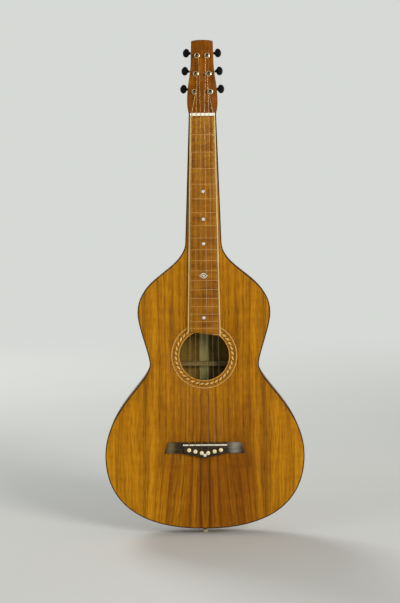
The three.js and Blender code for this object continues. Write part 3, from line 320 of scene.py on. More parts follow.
# Celluloid that imitates ivory: cream, buffed, with a faint yellow grain
ivoroid = grainMaterial("buffedIvoroid", {
    "roughness": 0.36, "perMetre": (240, 240, 30), "dark": "bf9a52", "light": "dcbe80"})
pinCream = grainMaterial("turnedIvoroidPin", {
    "roughness": 0.32, "perMetre": (300, 60, 300), "dark": "e3d29c", "light": "f4eac6"})
# Bone, sawn and polished: white with a little yellow in the pores
bone = grainMaterial("polishedBone", {
    "roughness": 0.32, "coat": 0.2, "perMetre": (200, 400, 900), "dark": "e2dac2", "light": "f6f2e4"})
endCream = grainMaterial("turnedBonePin", {
    "roughness": 0.3, "coat": 0.3, "perMetre": (300, 300, 60), "dark": "c9b88c", "light": "e4d8b4"})


# Mother-of-pearl, ground flat and polished: cloudy white with faint green and pink patches
def pearlMaterial():
    material, add = newMaterial("polishedPearl", {
        "Roughness": 0.18, "Coat Weight": 0.5, "Coat Roughness": 0.08})
    place = add("TexCoord", {}, out="Object")
    cloud = add("TexNoise", {"Vector": place, "Scale": 420.0, "Detail": 3.0, "Distortion": 1.4})
    patch = add("TexNoise", {"Vector": place, "Scale": 210.0, "Detail": 1.0})
    share = add("MapRange", {0: cloud, 1: 0.35, 2: 0.65})
    colour = add("Mix", {0: share, 6: tone("a9b3a4"), 7: tone("f1f0e6")})
    share = add("MapRange", {0: patch, 1: 0.45, 2: 0.7, 3: 0.0, 4: 0.4})
    colour = add("Mix", {0: share, 6: colour, 7: tone("d9b7b0")})
    return linkShader(material, {"Base Color": colour})


pearl = pearlMaterial()
# The two wings of the bridge are painted grey, the treble one most: partly hand wear, partly a painted
# highlight for the sheen on the wings
wingWearAndSheen = (
    {"middle": 58, "reach": 17, "strength": 0.85, "tone": "89887c"},
    {"middle": -67, "reach": 13, "strength": 0.75, "tone": "7a6b44"},
)


# Ebony, shaped and oiled: nearly black with fine silky grain across the guitar
def ebonyMaterial():
    material, add = newMaterial("oiledEbony", {"Roughness": 0.34, "Specular IOR Level": 0.25})
    place = add("TexCoord", {}, out="Object")
    silk = pattern(add, place, (40, 420, 520), 3.0, 0.6)
    share = add("MapRange", {0: silk, 1: 0.32, 2: 0.68})
    colour = add("Mix", {0: share, 6: tone("120c06"), 7: tone("3a2912")})
    across = add("SeparateXYZ", {0: place})
    # Painted highlight and wear: each wing is lightened towards its tone around a set distance from the
    # middle
    for wearAndSheen in wingWearAndSheen:
        off = distanceFrom(add, across, wearAndSheen["middle"])
        share = add("MapRange", {0: off, 1: 0.0, 2: wearAndSheen["reach"] * mm, 3: wearAndSheen["strength"], 4: 0.0}, **smooth)
        patchy = add("MapRange", {0: silk, 1: 0.3, 2: 0.6, 3: 0.5, 4: 1.0})
        share = add("Math", {0: share, 1: patchy}, operation="MULTIPLY")
        colour = add("Mix", {0: share, 6: colour, 7: tone(wearAndSheen["tone"])})
    bump = add("Bump", {"Height": silk, "Strength": 0.2, "Distance": 0.0002})
    return linkShader(material, {"Base Color": colour, "Normal": bump})


ebony = ebonyMaterial()


# Metals: plated or drawn, with handling marks in the roughness
def metalMaterial(name, look):
    material, add = newMaterial(name, {"Metallic": 1.0})
    place = add("TexCoord", {}, out="Object")
    wear = pattern(add, place, look["perMetre"], 3.0)
    share = add("MapRange", {0: wear, 1: 0.35, 2: 0.65})
    colour = add("Mix", {0: share, 6: tone(look["dark"]), 7: tone(look["light"])})
    rough = add("MapRange", {0: wear, 3: look["roughness"] - 0.08, 4: look["roughness"] + 0.1})
    height = wear
    if "wrapsPerMetre" in look:
        # Wrap wire laid side by side round the core, drawn at twice its real pitch so that it shows
        height = add("TexWave", {"Vector": place, "Scale": look["wrapsPerMetre"] / 20, "Distortion": 0.0},
                     wave_type="BANDS", bands_direction="Z")
        # Painted shade: the grooves between the wraps are darkened in the colour
        wrapGrooveShade = add("MapRange", {0: height, 3: 0.45, 4: 1.0})
        colour = add("Mix", {0: 1.0, 6: colour, 7: wrapGrooveShade}, blend_type="MULTIPLY")
    bump = add("Bump", {"Height": height, "Strength": look["relief"], "Distance": 0.0001})
    return linkShader(material, {"Base Color": colour, "Roughness": rough, "Normal": bump})


# Nickel plate over brass, handled for decades: warm grey, soft gloss
nickel = metalMaterial("wornNickelPlate", {
    "roughness": 0.3, "perMetre": (300, 300, 300), "dark": "a39a84", "light": "ded6c2", "relief": 0.1})
# The posts' plate is coloured dark: partly dulled plate, partly a painted dark reflection. The hollow in
# each post's end is painted nearly black as painted shade.
dulledShadedNickel = metalMaterial("dulledShadedNickelPost", {
    "roughness": 0.42, "perMetre": (400, 400, 400), "dark": "6b6350", "light": "b3a78a", "relief": 0.2})
postHollowShade = metalMaterial("postHollowPaintedShade", {
    "roughness": 0.6, "perMetre": (400, 400, 400), "dark": "1f1a14", "light": "3c3429", "relief": 0.2})
# The washers keep a bright cream plate
brightNickel = metalMaterial("brightNickelWasher", {
    "roughness": 0.22, "perMetre": (300, 300, 300), "dark": "e2d5ae", "light": "fff6dc", "relief": 0.05})
# Gears cut from bare brass, and strings of drawn steel or wound with bronze
brass = metalMaterial("cutBrassGear", {
    "roughness": 0.36, "perMetre": (300, 300, 300), "dark": "8a6c35", "light": "c3a05c", "relief": 0.1})
steel = metalMaterial("drawnSteelWire", {
    "roughness": 0.34, "perMetre": (900, 900, 60), "dark": "8f8878", "light": "c4bba6", "relief": 0.05})
bronze = metalMaterial("bronzeWoundWire", {
    "roughness": 0.42, "perMetre": (900, 900, 200), "dark": "8f6f3c", "light": "cba76c", "relief": 0.6,
    "wrapsPerMetre": 1600})


# Black button, moulded and buffed: deep gloss with fine rub marks
def buttonMaterial():
    material, add = newMaterial("mouldedBlackButton", {"Roughness": 0.3, "Specular IOR Level": 0.1})
    place = add("TexCoord", {}, out="Object")
    rubs = add("TexNoise", {"Vector": place, "Scale": 500.0, "Detail": 4.0})
    colour = add("Mix", {0: rubs, 6: tone("020304"), 7: tone("070a0c")})
    rough = add("MapRange", {0: rubs, 3: 0.22, 4: 0.4})
    return linkShader(material, {"Base Color": colour, "Roughness": rough})


blackButton = buttonMaterial()
print("materials ready")

# Shared shaping steps

toFront = Matrix.Rotation(math.pi / 2, 4, "X")
toSide = Matrix.Rotation(math.pi / 2, 4, "Y")


# Puts a lathe's axis, z, towards the front at a place
def facing(across, depth, height):
    return Matrix.Translation(spot(across, depth, height)) @ toFront


def toMesh(name, bm, *materials):
    mesh = bpy.data.meshes.new(name)
    bm.to_mesh(mesh)
    bm.free()
    for material in materials:
        mesh.materials.append(material)
    return mesh


def newObject(name, data):
    item = bpy.data.objects.new(name, data)
    bpy.context.scene.collection.objects.link(item)
    return item


# Makes a named piece that rides on a CAD body and may stand for a CAD node
def addPiece(name, bm, materials, node=None, rides="body", sharp=32, closed=True):
    if closed:
        bmesh.ops.remove_doubles(bm, verts=bm.verts[:], dist=1e-7)
        bmesh.ops.recalc_face_normals(bm, faces=bm.faces[:])
    mesh = toMesh(name, bm, *(materials if isinstance(materials, list) else [materials]))
    mesh.shade_smooth()
    mesh.set_sharp_from_angle(angle=math.radians(sharp))
    piece = newObject(name, mesh)
    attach(piece, rides)
    if node:
        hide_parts(node)
    return piece


# Rounds the edges that turn by more than an angle and have both ends at chosen points
def soften(bm, width, segments=3, least=30, chosen=lambda point: True):
    edges = [edge for edge in bm.edges
             if edge.is_manifold and edge.calc_face_angle(0) > math.radians(least)
             and all(chosen(vert.co) for vert in edge.verts)]
    bmesh.ops.bevel(bm, geom=edges, offset=width * mm, segments=segments, profile=0.5,
                    affect="EDGES", material=-1, clamp_overlap=True)


def newVerts(items):
    return [item for item in items if isinstance(item, bmesh.types.BMVert)]


# Gives flat faces a thickness towards the back
def thicken(bm, faces, thickness):
    grown = bmesh.ops.extrude_face_region(bm, geom=faces)["geom"]
    bmesh.ops.translate(bm, verts=newVerts(grown), vec=(0, thickness * mm, 0))
    bmesh.ops.recalc_face_normals(bm, faces=bm.faces[:])
    return bm


# A plate with its front on the outline and its back a thickness behind
def slab(points, thickness):
    bm = bmesh.new()
    return thicken(bm, [bm.faces.new([bm.verts.new(point) for point in points])], thickness)


# A closed skin through rings of equally many points, ended by the first and last ring
def loft(rings):
    bm = bmesh.new()
    face = bm.faces.new([bm.verts.new(point) for point in rings[0]])
    for ring in rings[1:]:
        grown = bmesh.ops.extrude_face_region(bm, geom=[face])["geom"]
        face = next(item for item in grown if isinstance(item, bmesh.types.BMFace))
        for vert, point in zip([loop.vert for loop in face.loops], ring):
            vert.co = point
    bmesh.ops.recalc_face_normals(bm, faces=bm.faces[:])
    return bm


# Turns a profile of (radius, height) about z, in millimetres
def lathe(profile, steps=40):
    bm = bmesh.new()
    row = [bm.verts.new((radius * mm, 0, height * mm)) for radius, height in profile]
    edges = [bm.edges.new(pair) for pair in zip(row, row[1:])]
    bmesh.ops.spin(bm, geom=row + edges, cent=(0, 0, 0), axis=(0, 0, 1), angle=math.tau, steps=steps,
                   use_merge=True)
    bmesh.ops.remove_doubles(bm, verts=bm.verts[:], dist=1e-7)
    bmesh.ops.recalc_face_normals(bm, faces=bm.faces[:])
    return bm


def raised(profile, rise):
    return [(radius, rise + height) for radius, height in profile]


def moveTo(bm, matrix):
    bmesh.ops.transform(bm, matrix=matrix, verts=bm.verts[:])
    if matrix.determinant() < 0:
        bmesh.ops.reverse_faces(bm, faces=bm.faces[:])
    return bm


def mergeInto(bm, other):
    mesh = toMesh("part", other)
    bm.from_mesh(mesh)
    bpy.data.meshes.remove(mesh)
    return bm


# Adds a row of edges across a mesh at a height of its own frame
def cutAt(bm, point):
    bmesh.ops.bisect_plane(bm, geom=bm.verts[:] + bm.edges[:] + bm.faces[:], dist=1e-7,
                           plane_co=point, plane_no=(0, 0, 1))


# A round wire through points, as a mesh
def wire(points, diameter, resolution=3):
    curve = bpy.data.curves.new("wire", "CURVE")
    curve.dimensions = "3D"
    curve.bevel_depth = diameter / 2 * mm
    curve.bevel_resolution = resolution
    curve.use_fill_caps = True
    spline = curve.splines.new("POLY")
    spline.points.add(len(points) - 1)
    for target, point in zip(spline.points, points):
        target.co = (*point, 1)
    holder = bpy.data.objects.new("wire", curve)
    mesh = bpy.data.meshes.new_from_object(holder)
    bm = bmesh.new()
    bm.from_mesh(mesh)
    bpy.data.objects.remove(holder)
    bpy.data.curves.remove(curve)
    bpy.data.meshes.remove(mesh)
    return bm


# A copy of a CAD node with its flat faces joined up and its edges rounded
def softCopy(node, width, segments=3):
    bm = bmesh.new()
    bm.from_mesh(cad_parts[node].data)
    bmesh.ops.remove_doubles(bm, verts=bm.verts[:], dist=2e-6)
    bmesh.ops.dissolve_limit(bm, angle_limit=math.radians(0.5), verts=bm.verts[:], edges=bm.edges[:])
    soften(bm, width, segments)
    return bm


def bezier(corners, steps):
    return interpolate_bezier(*[Vector((x, 0, z)) for x, z in corners], steps)


# Moves an edge's points inwards by a distance that may change with the height
def drawIn(edge, distanceAt, first, last):
    runs = [(after - before).normalized() for before, after in zip(edge, edge[2:])]
    outwards = [Vector(first), *[Vector((run.z, 0, -run.x)) for run in runs], Vector(last)]
    return [point - outward * distanceAt(point.z) for point, outward in zip(edge, outwards)]


# Outline of the body

# The right-hand edge from the tail to the neck's end, moved inwards by an inset
def bodyEdge(inset=0.0, seam=0.0):
    stations = [(width / 2, height) for width, height in (
        body[name] for name in ("lowerBout", "waist", "upperBout", "shoulder", "neckEnd"))]
    (lower, lowerZ), (shoulder, shoulderZ), (neckEnd, endZ) = stations[0], stations[3], stations[4]
    slopes = (0, 0, (shoulder - neckEnd) / (endZ - shoulderZ))
    edge = bezier([(0, 0), (body["tailRoundShare"] * lower, 0), (lower, body["tailRiseShare"] * lowerZ),
                   (lower, lowerZ)], body["curveSteps"])
    for (x, z), (nextX, nextZ), leave, arrive, slope in zip(
            stations, stations[1:], body["leaveShares"], body["arriveShares"], slopes):
        rise = nextZ - z
        arriving = (nextX + slope * arrive * rise, nextZ - arrive * rise)
        edge += bezier([(x, z), (x, z + leave * rise), arriving, (nextX, nextZ)], body["curveSteps"])[1:]
    edge.append(Vector((neckEnd, 0, endZ)))
    moved = [(point.x, point.z) for point in drawIn(edge, lambda z: inset, (0, 0, -1), (1, 0, 0))]
    return [(seam, moved[0][1]), *moved[1:]]


def bothEdges(inset):
    right = bodyEdge(inset)
    return right + [(-x, z) for x, z in reversed(right) if x > 0]


# Depth of the back's outer face at a height: two straight runs and a bend between them
def backDepth(height):
    reach, shoulderZ, endZ = body["bendLength"], body["shoulder"][1], body["neckEnd"][1]
    tail, shoulder, neck = body["tailDepth"], body["shoulderDepth"], body["neckDepth"]
    if height <= shoulderZ - reach:
        return lerp(tail, shoulder, height / shoulderZ)
    if height >= shoulderZ + reach:
        return lerp(shoulder, neck, (height - shoulderZ) / (endZ - shoulderZ))
    start = lerp(tail, shoulder, (shoulderZ - reach) / shoulderZ)
    finish = lerp(shoulder, neck, reach / (endZ - shoulderZ))
    return bend(start, shoulder, finish, (height - shoulderZ + reach) / (2 * reach))


# Soundboard with its hole, and the rings let into it

rosette = {
    "holeSteps": 96, "rimRound": 0.45, "rimGap": 0.5, "rimWidth": 0.9,
    "ropeRadius": 55.3, "ropeWidth": 5, "tiles": 36, "slant": 4.6,
    "tileLength": 6.3, "tileWidth": 3.7, "tileLift": 0.04,
    "dashLength": 2.2, "dashWidth": 4.2, "dashLift": 0.03,
    "outerRadius": 63.3, "outerWidth": 1.6, "lineWidth": 0.5, "proud": 0.06, "sunk": 0.5,
}
# The shank goes from under the head to the tip, and the eye is the dark dot on the head
pins = {
    "setbacks": (14.4, 17, 20), "span": 62.1, "holeRadius": 2.9, "holeSteps": 20,
    "headRadius": 4, "headHeight": 3.2, "collar": 0.9, "domeSteps": 7, "topRadius": 2.6,
    "shank": ((4, 0.45), (3.7, 0.15), (2.85, 0.1), (2.6, -0.3), (2.2, -22.8), (1.7, -23.7), (0, -24)),
    "grooveWidth": 2.1, "grooveFloor": 0.75, "grooveTop": -0.2,
    "eye": ((0, -0.4), (0.6, -0.4), (0.6, -0.02), (0.4, 0.05), (0, 0.07)),
}
bridge = {
    "height": 9, "edgeRound": 0.5, "seatGap": 0.1, "saddleProud": 3.6, "saddleRound": 0.4,
    "dotRadius": 3.2, "dotSetback": 24.4,
}
strings = {
    "diameters": (1.37, 1.07, 0.81, 0.61, 0.43, 0.38), "turns": (2, 2.5, 3, 3, 3, 3), "gap": 0.5,
    "lift": 0.12, "nutSpan": 41, "nutHeight": 13, "windingTop": 7.9, "windingSteps": 28, "slotGap": 0.15,
    "running": 0.3, "ballRadius": 1.9, "ballSteps": 10, "plateBack": 5.4,
}
stringCount = len(strings["diameters"])


# Place along a row of strings, from -0.5 at the bass to 0.5 at the treble
def rowShare(at):
    return at / (stringCount - 1) - 0.5


def pinPlace(at):
    row = min(at, stringCount - 1 - at)
    return pins["span"] * rowShare(at), scale["bridge"] - pins["setbacks"][row]


def circlePoints(radius, steps, x, height):
    turns = [math.tau * at / steps for at in range(steps)]
    return [spot(x + radius * math.sin(turn), 0, height + radius * math.cos(turn)) for turn in turns]


def soundboard():
    bm = bmesh.new()
    outline = [spot(x, 0, z) for x, z in bothEdges(body["bindingWidth"] + body["glueLine"])]
    hole = circlePoints(scale["holeRadius"], rosette["holeSteps"], 0, scale["soundhole"])
    pinHoles = [circlePoints(pins["holeRadius"], pins["holeSteps"], *pinPlace(at))
                for at in range(stringCount)]
    edges = []
    for points in (outline, hole, *pinHoles):
        verts = [bm.verts.new(point) for point in points]
        edges += [bm.edges.new(pair) for pair in zip(verts, verts[1:] + verts[:1])]
    bmesh.ops.triangle_fill(bm, use_beauty=True, use_dissolve=False, edges=edges)
    thicken(bm, bm.faces[:], body["plate"])
    centre = spot(0, 0, scale["soundhole"])
    soften(bm, rosette["rimRound"], 2, 60, lambda point: (
        abs((point - centre).xz.length - scale["holeRadius"] * mm) < 1e-5 and point.y < faceY + 1e-5))
    addPiece("soundboardPlate", bm, topKoa, "soundboard")


# A flat ring on the soundboard's face
def flatRing(bm, radius, width):
    inner, outer, high, low = radius - width / 2, radius + width / 2, rosette["proud"], -rosette["sunk"]
    profile = [(inner, low), (inner, high), (outer, high), (outer, low), (inner, low)]
    return mergeInto(bm, moveTo(lathe(profile, rosette["holeSteps"]), facing(0, 0, scale["soundhole"])))


# Slanted tiles laid end to end round the hole
def ringTiles(length, width, offset, lift):
    half, lean, count = length / 2, rosette["slant"] / 2, rosette["tiles"]
    bm = slab([
        (x * mm, -(rosette["proud"] + lift) * mm, (z - rosette["ropeRadius"]) * mm)
        for x, z in ((-half - lean, -width / 2), (half - lean, -width / 2),
                     (half + lean, width / 2), (-half + lean, width / 2))
    ], rosette["sunk"])
    moveTo(bm, Matrix.Rotation(math.tau / count * offset, 4, "Y"))
    bmesh.ops.spin(bm, geom=bm.verts[:] + bm.edges[:] + bm.faces[:], cent=(0, 0, 0), axis=(0, 1, 0),
                   angle=math.tau * (1 - 1 / count), steps=count - 1, use_duplicate=True)
    return moveTo(bm, Matrix.Translation(spot(0, 0, scale["soundhole"])))


def rosetteRings():
    rope = flatRing(bmesh.new(), rosette["ropeRadius"], rosette["ropeWidth"])
    addPiece("ropeRingGround", rope, boardKoa, "rosette_rope_ring")
    tiles = ringTiles(rosette["tileLength"], rosette["tileWidth"], 0.5, rosette["tileLift"])
    addPiece("ropeRingTiles", tiles, inlayWood)
    dashes = ringTiles(rosette["dashLength"], rosette["dashWidth"], 0.0, rosette["dashLift"])
    addPiece("ropeRingDashes", dashes, dyedWood)
    outer = flatRing(bmesh.new(), rosette["outerRadius"], rosette["outerWidth"])
    flatRing(outer, scale["holeRadius"] + rosette["rimGap"] + rosette["rimWidth"] / 2, rosette["rimWidth"])
    addPiece("outerRingBand", outer, ringWood, "rosette_outer_ring")
    lines = bmesh.new()
    for side, ring in ((-1, "outer"), (-1, "rope"), (1, "outer"), (1, "rope")):
        off = side * (rosette[ring + "Width"] + rosette["lineWidth"]) / 2
        flatRing(lines, rosette[ring + "Radius"] + off, rosette["lineWidth"])
    addPiece("rosetteDarkLines", lines, dyedWood)


# Back, sides and edge binding

def back():
    bm = slab([spot(x, 0, z) for x, z in bothEdges(0)], body["plate"])
    for step in range(body["bendCuts"] + 1):
        rise = body["bendLength"] * (step / (body["bendCuts"] / 2) - 1)
        cutAt(bm, spot(0, 0, body["shoulder"][1] + rise))
    for vert in bm.verts:
        vert.co.y += (backDepth(heightOf(vert.co)) - body["plate"]) * mm
    soften(bm, body["backRound"], 4, 40, lambda point: (
        (point.y - faceY) / mm > backDepth(heightOf(point)) - 0.01))
    bmesh.ops.recalc_face_normals(bm, faces=bm.faces[:])
    for face in bm.faces:
        face.material_index = 1 if face.normal.y < -0.9 else 0
    addPiece("backPlate", bm, [backKoa, insideKoa], "back", sharp=40)


def sidePanel(side, word):
    bm = bmesh.new()
    front = body["bindingDepth"] + body["glueLine"]
    verts = [bm.verts.new(spot(side * x, front, z)) for x, z in bodyEdge(0, body["glueLine"] / 2)]
    run = [0.0]
    for low, high in zip(verts, verts[1:]):
        run.append(run[-1] + (high.co - low.co).length)
    edges = [bm.edges.new(pair) for pair in zip(verts, verts[1:])]
    for vert in newVerts(bmesh.ops.extrude_edge_only(bm, edges=edges)["geom"]):
        vert.co.y = faceY + (backDepth(heightOf(vert.co)) - body["plate"] - body["glueLine"]) * mm
    # The grain follows the bent side: the piece's map runs along it and across it
    layer = bm.loops.layers.uv.new("run")
    for loop in [loop for face in bm.faces for loop in face.loops]:
        nearest = min(range(len(verts)), key=lambda at: (verts[at].co.xz - loop.vert.co.xz).length)
        loop[layer].uv = (run[nearest], loop.vert.co.y)
    bmesh.ops.recalc_face_normals(bm, faces=bm.faces[:])
    if sum(face.normal.x * side for face in bm.faces) < 0:
        bmesh.ops.reverse_faces(bm, faces=bm.faces[:])
    piece = addPiece("sidePanel" + word, bm, [sideKoa, insideKoa], "side_" + word.lower(),
                     sharp=180, closed=False)
    wall = piece.modifiers.new("wall", "SOLIDIFY")
    wall.thickness = body["side"] * mm
    wall.offset = -1
    wall.material_offset = 1


def binding(side, word):
    def inPlan(point):
        return round(point.x, 6), round(point.z, 6)

    rows = [[spot(side * x, 0, z) for x, z in bodyEdge(inset, body["glueLine"] / 2)]
            for inset in (0, body["bindingWidth"])]
    rim = {inPlan(point) for point in rows[0]}
    bm = bmesh.new()
    rows = [[bm.verts.new(point) for point in row] for row in rows]
    bmesh.ops.bridge_loops(bm, edges=[bm.edges.new(pair) for row in rows for pair in zip(row, row[1:])])
    thicken(bm, bm.faces[:], body["bindingDepth"])
    soften(bm, body["bindingRound"], 3, 40, lambda point: point.y < faceY + 1e-5 and inPlan(point) in rim)
    addPiece("edgeBinding" + word, bm, rosewood, "binding_" + word.lower())


soundboard()
rosetteRings()
back()
for side, word in sides:
    sidePanel(side, word)
    binding(side, word)
print("body ready")

# Fretboard with its binding, frets and markers

board = {
    "height": 5.6, "nutWidth": 48.8, "endWidth": 64.6, "overHole": 9.7, "slant": 9.5, "edgeRound": 0.25,
    "nutRound": 0.35, "binding": 2.7, "bindingRound": 0.35, "line": 0.5, "lineProud": 0.02,
    "frets": 19, "fretWidth": 1.15, "fretProud": 0.08, "fretDepth": 0.6, "fretRound": 0.05, "fretLead": 1,
    "dots": (5, 7, 9, 17), "dotRadius": 3.1,
}
marker = {
    "fret": 12, "length": 17, "width": 11, "proud": 0.07, "thickness": 0.9,
    "bowShares": ((0, 1), (0.35, 1), (0.62, 0.3), (1, 0)),
    "insetShares": (0.62, 0.72), "insetProud": 0.03, "insetThickness": 0.3,
    "eyeRadius": 2.3, "eyeProud": 0.16,
}
trebleEnd = scale["soundhole"] + scale["holeRadius"] - board["overHole"]
bassEnd = trebleEnd + board["slant"]
boardTop = scale["nut"] - body["glueLine"]
boardFront = -board["height"]
boardInset = board["binding"] + board["line"]


def boardHalf(height):
    share = (scale["nut"] - height) / (scale["nut"] - trebleEnd)
    return lerp(board["nutWidth"], board["endWidth"], share) / 2


def endHeight(x):
    low, high = -boardHalf(bassEnd), boardHalf(trebleEnd)
    return lerp(bassEnd, trebleEnd, (x - low) / (high - low))


def fretHeight(fret):
    return scale["nut"] - scale["length"] * (1 - 2 ** (-fret / 12))


def spaceMiddle(fret):
    return (fretHeight(fret - 1) + fretHeight(fret)) / 2


# A long strip beside the fretboard's core, between two distances from its edge
def edgeStrip(side, outer, inner, front, thickness):
    points = []
    for distance in (outer, inner):
        low = side * boardHalf(trebleEnd if side > 0 else bassEnd) - side * distance
        high = side * (boardHalf(scale["nut"]) - distance)
        ends = [spot(high, front, boardTop), spot(low, front, endHeight(low))]
        points += ends if distance == outer else ends[::-1]
    return slab(points, thickness)


def fretboard():
    thickness = board["height"] - body["glueLine"]
    low, high = -boardHalf(bassEnd) + boardInset, boardHalf(trebleEnd) - boardInset
    nutHalf = boardHalf(scale["nut"]) - boardInset
    corners = ((-nutHalf, boardTop), (low, endHeight(low)), (high, endHeight(high)), (nutHalf, boardTop))
    bm = slab([spot(x, boardFront, z) for x, z in corners], thickness)
    soften(bm, board["edgeRound"], 2, 60, lambda point: point.z < tailZ + (bassEnd + 2) * mm)
    addPiece("fretboardCore", bm, boardKoa, "fretboard")
    for side, word in sides:
        strip = edgeStrip(side, 0, board["binding"], boardFront, thickness)
        soften(strip, board["bindingRound"], 3, 60, lambda point: (
            point.y < faceY - (board["height"] - 0.01) * mm))
        addPiece("boardBinding" + word, strip, ivoroid, "fretboard_binding_" + word.lower())
        line = edgeStrip(side, board["binding"], boardInset, boardFront - board["lineProud"],
                         board["height"] / 2)
        addPiece("boardLine" + word, line, dyedWood)


def frets():
    bm = bmesh.new()
    front = boardFront - board["fretProud"]
    for fret in range(1, board["frets"] + 1):
        middle = fretHeight(fret)
        half = boardHalf(middle) - boardInset
        left = -half
        low, high = middle - board["fretWidth"] / 2, middle + board["fretWidth"] / 2
        if endHeight(left) > low:
            # The last fret meets the slanted end
            share = (bassEnd - low) / board["slant"]
            left = lerp(-boardHalf(bassEnd), boardHalf(trebleEnd), share) + board["fretLead"]
        strip = slab([spot(x, front, z) for x, z in ((left, low), (half, low), (half, high), (left, high))],
                     board["fretProud"] + board["fretDepth"])
        soften(strip, board["fretRound"], 1, 60)
        mergeInto(bm, strip)
    addPiece("flushFrets", bm, fretWood)


inlay = {"proud": 0.07, "sunk": 0.6, "rimDrop": 0.05, "rimWidth": 0.1}


# A thin round inlay, its face a little proud and its rim bevelled
def roundInlay(radius, depth, height, proud=inlay["proud"]):
    sunk, rim = -inlay["sunk"], radius - inlay["rimWidth"]
    disc = lathe([
        (0, sunk), (radius, sunk), (radius, proud - inlay["rimDrop"]), (rim, proud), (0, proud)], 28)
    return moveTo(disc, facing(0, depth, height))


def markers():
    dots = bmesh.new()
    for space in board["dots"]:
        mergeInto(dots, roundInlay(board["dotRadius"], boardFront, spaceMiddle(space)))
    addPiece("positionDots", dots, pearl)
    middle, front = spaceMiddle(marker["fret"]), boardFront - marker["proud"]
    half, bow = marker["length"] / 2, marker["width"] / 2
    quarter = bezier([(half * along, bow * across) for along, across in marker["bowShares"]], 9)
    upper = quarter + [Vector((point.x, 0, -point.z)) for point in reversed(quarter[:-1])]
    outline = upper + [Vector((-point.x, 0, point.z)) for point in reversed(upper[1:-1])]
    eye = slab([spot(point.x, front, middle + point.z) for point in outline], marker["thickness"])
    addPiece("octaveLozenge", eye, pearl, "octave_marker")
    along, across = marker["insetShares"]
    rim = slab([spot(point.x * along, front - marker["insetProud"], middle + point.z * across)
                for point in outline], marker["insetThickness"])
    addPiece("octaveLozengeInset", rim, dyedWood)
    addPiece("octaveEye", roundInlay(marker["eyeRadius"], boardFront, middle, marker["eyeProud"]), pearl)


fretboard()
frets()
markers()
addPiece("nutBlock", softCopy("nut", board["nutRound"]), bone, "nut")
print("fretboard ready")

# Bridge, saddle and pins

# The end pin's profile runs from its tip on the floor to the end of its shank in the tail block
endPin = {
    "proud": 14,
    "profile": ((0, 0), (3.6, 0), (4.4, 0.25), (5.0, 0.9), (5.2, 1.7), (5.2, 3.6), (4.9, 4.4), (4.2, 5.3),
                (3.75, 6.6), (3.6, 8), (3.75, 9.6), (4.1, 11.4), (4.6, 12.9), (4.7, 13.6), (3.1, 13.7),
                (2.6, 32), (0, 32)),
}


def bridgePin(at):
    number = stringCount - at
    x, z = pinPlace(at)
    seat = facing(x, -bridge["height"] - bridge["seatGap"], z)
    dome = pins["headHeight"] - pins["collar"]
    turns = [math.pi / 2 * step / pins["domeSteps"] for step in range(1, pins["domeSteps"] + 1)]
    head = [(pins["headRadius"] * math.sin(turn), pins["collar"] + dome * math.cos(turn)) for turn in turns]
    pin = lathe([(0, pins["headHeight"]), *head, *pins["shank"]], 32)
    # The string's groove runs down the shank on the saddle's side
    for vert in pin.verts:
        inside = vert.co.z < pins["grooveTop"] * mm and abs(vert.co.x) < pins["grooveWidth"] / 2 * mm
        if inside and vert.co.y > 0:
            vert.co.y = min(vert.co.y, pins["grooveFloor"] * mm)
    addPiece(f"cappedPin{number}", moveTo(pin, seat), pinCream, f"bridge_pin_{number}",
             rides=f"pin_{number}")
    eye = lathe(raised(pins["eye"], pins["headHeight"]), 20)
    addPiece(f"pinEye{number}", moveTo(eye, seat), dyedWood, rides=f"pin_{number}")


addPiece("bridgeBlock", softCopy("bridge", bridge["edgeRound"]), ebony, "bridge", sharp=40)
addPiece("saddleBlade", softCopy("saddle", bridge["saddleRound"]), bone, "saddle")
bridgeDot = roundInlay(bridge["dotRadius"], -bridge["height"], scale["bridge"] - bridge["dotSetback"])
addPiece("bridgeDot", bridgeDot, pearl)
for at in range(stringCount):
    bridgePin(at)
endSeat = Matrix.Translation(spot(0, body["tailDepth"] / 2, -endPin["proud"]))
addPiece("turnedEndPin", moveTo(lathe(endPin["profile"]), endSeat), endCream, "end_pin", sharp=40)
print("bridge and pins ready")

# Head

head = {
    "tilt": 5, "step": 3, "setback": 5.5, "thickness": 15, "length": 142, "flareWidth": 58.8,
    "flareHeight": 23, "straightWidth": 44, "straightHeight": 102, "topWidth": 42, "crown": 2,
    "cornerRadius": 1.6, "cornerPull": 0.5, "cornerLift": 0.1, "crownPulls": (0.6, 0.3), "crownRise": 1.6,
    "swellSteps": 14, "taperSteps": 24, "cornerSteps": 6, "crownSteps": 8,
    "flareLeaveShare": 0.6, "flareArriveShare": 0.45, "taperLeaveShare": 0.42,
    "taperArriveShare": 0.35, "edgeRound": 1.3, "flareRound": 5.2, "flareRoundLift": 2,
    "flareRoundReach": 17, "frontSteps": 6, "backRound": 2.2, "backSteps": 5,
    "fairing": 29, "fairingLead": 5, "fairingDepth": 9,
    "fairingCuts": (3.4, 4.4, 5.6, 7, 8.5, 10, 12, 14.5, 18, 23, 29),
}
headTilt = math.radians(head["tilt"])
headZ = scale["nut"] + head["setback"]
headFrame = Matrix.Translation(spot(0, -head["step"], headZ)) @ Matrix.Rotation(-headTilt, 4, "X")


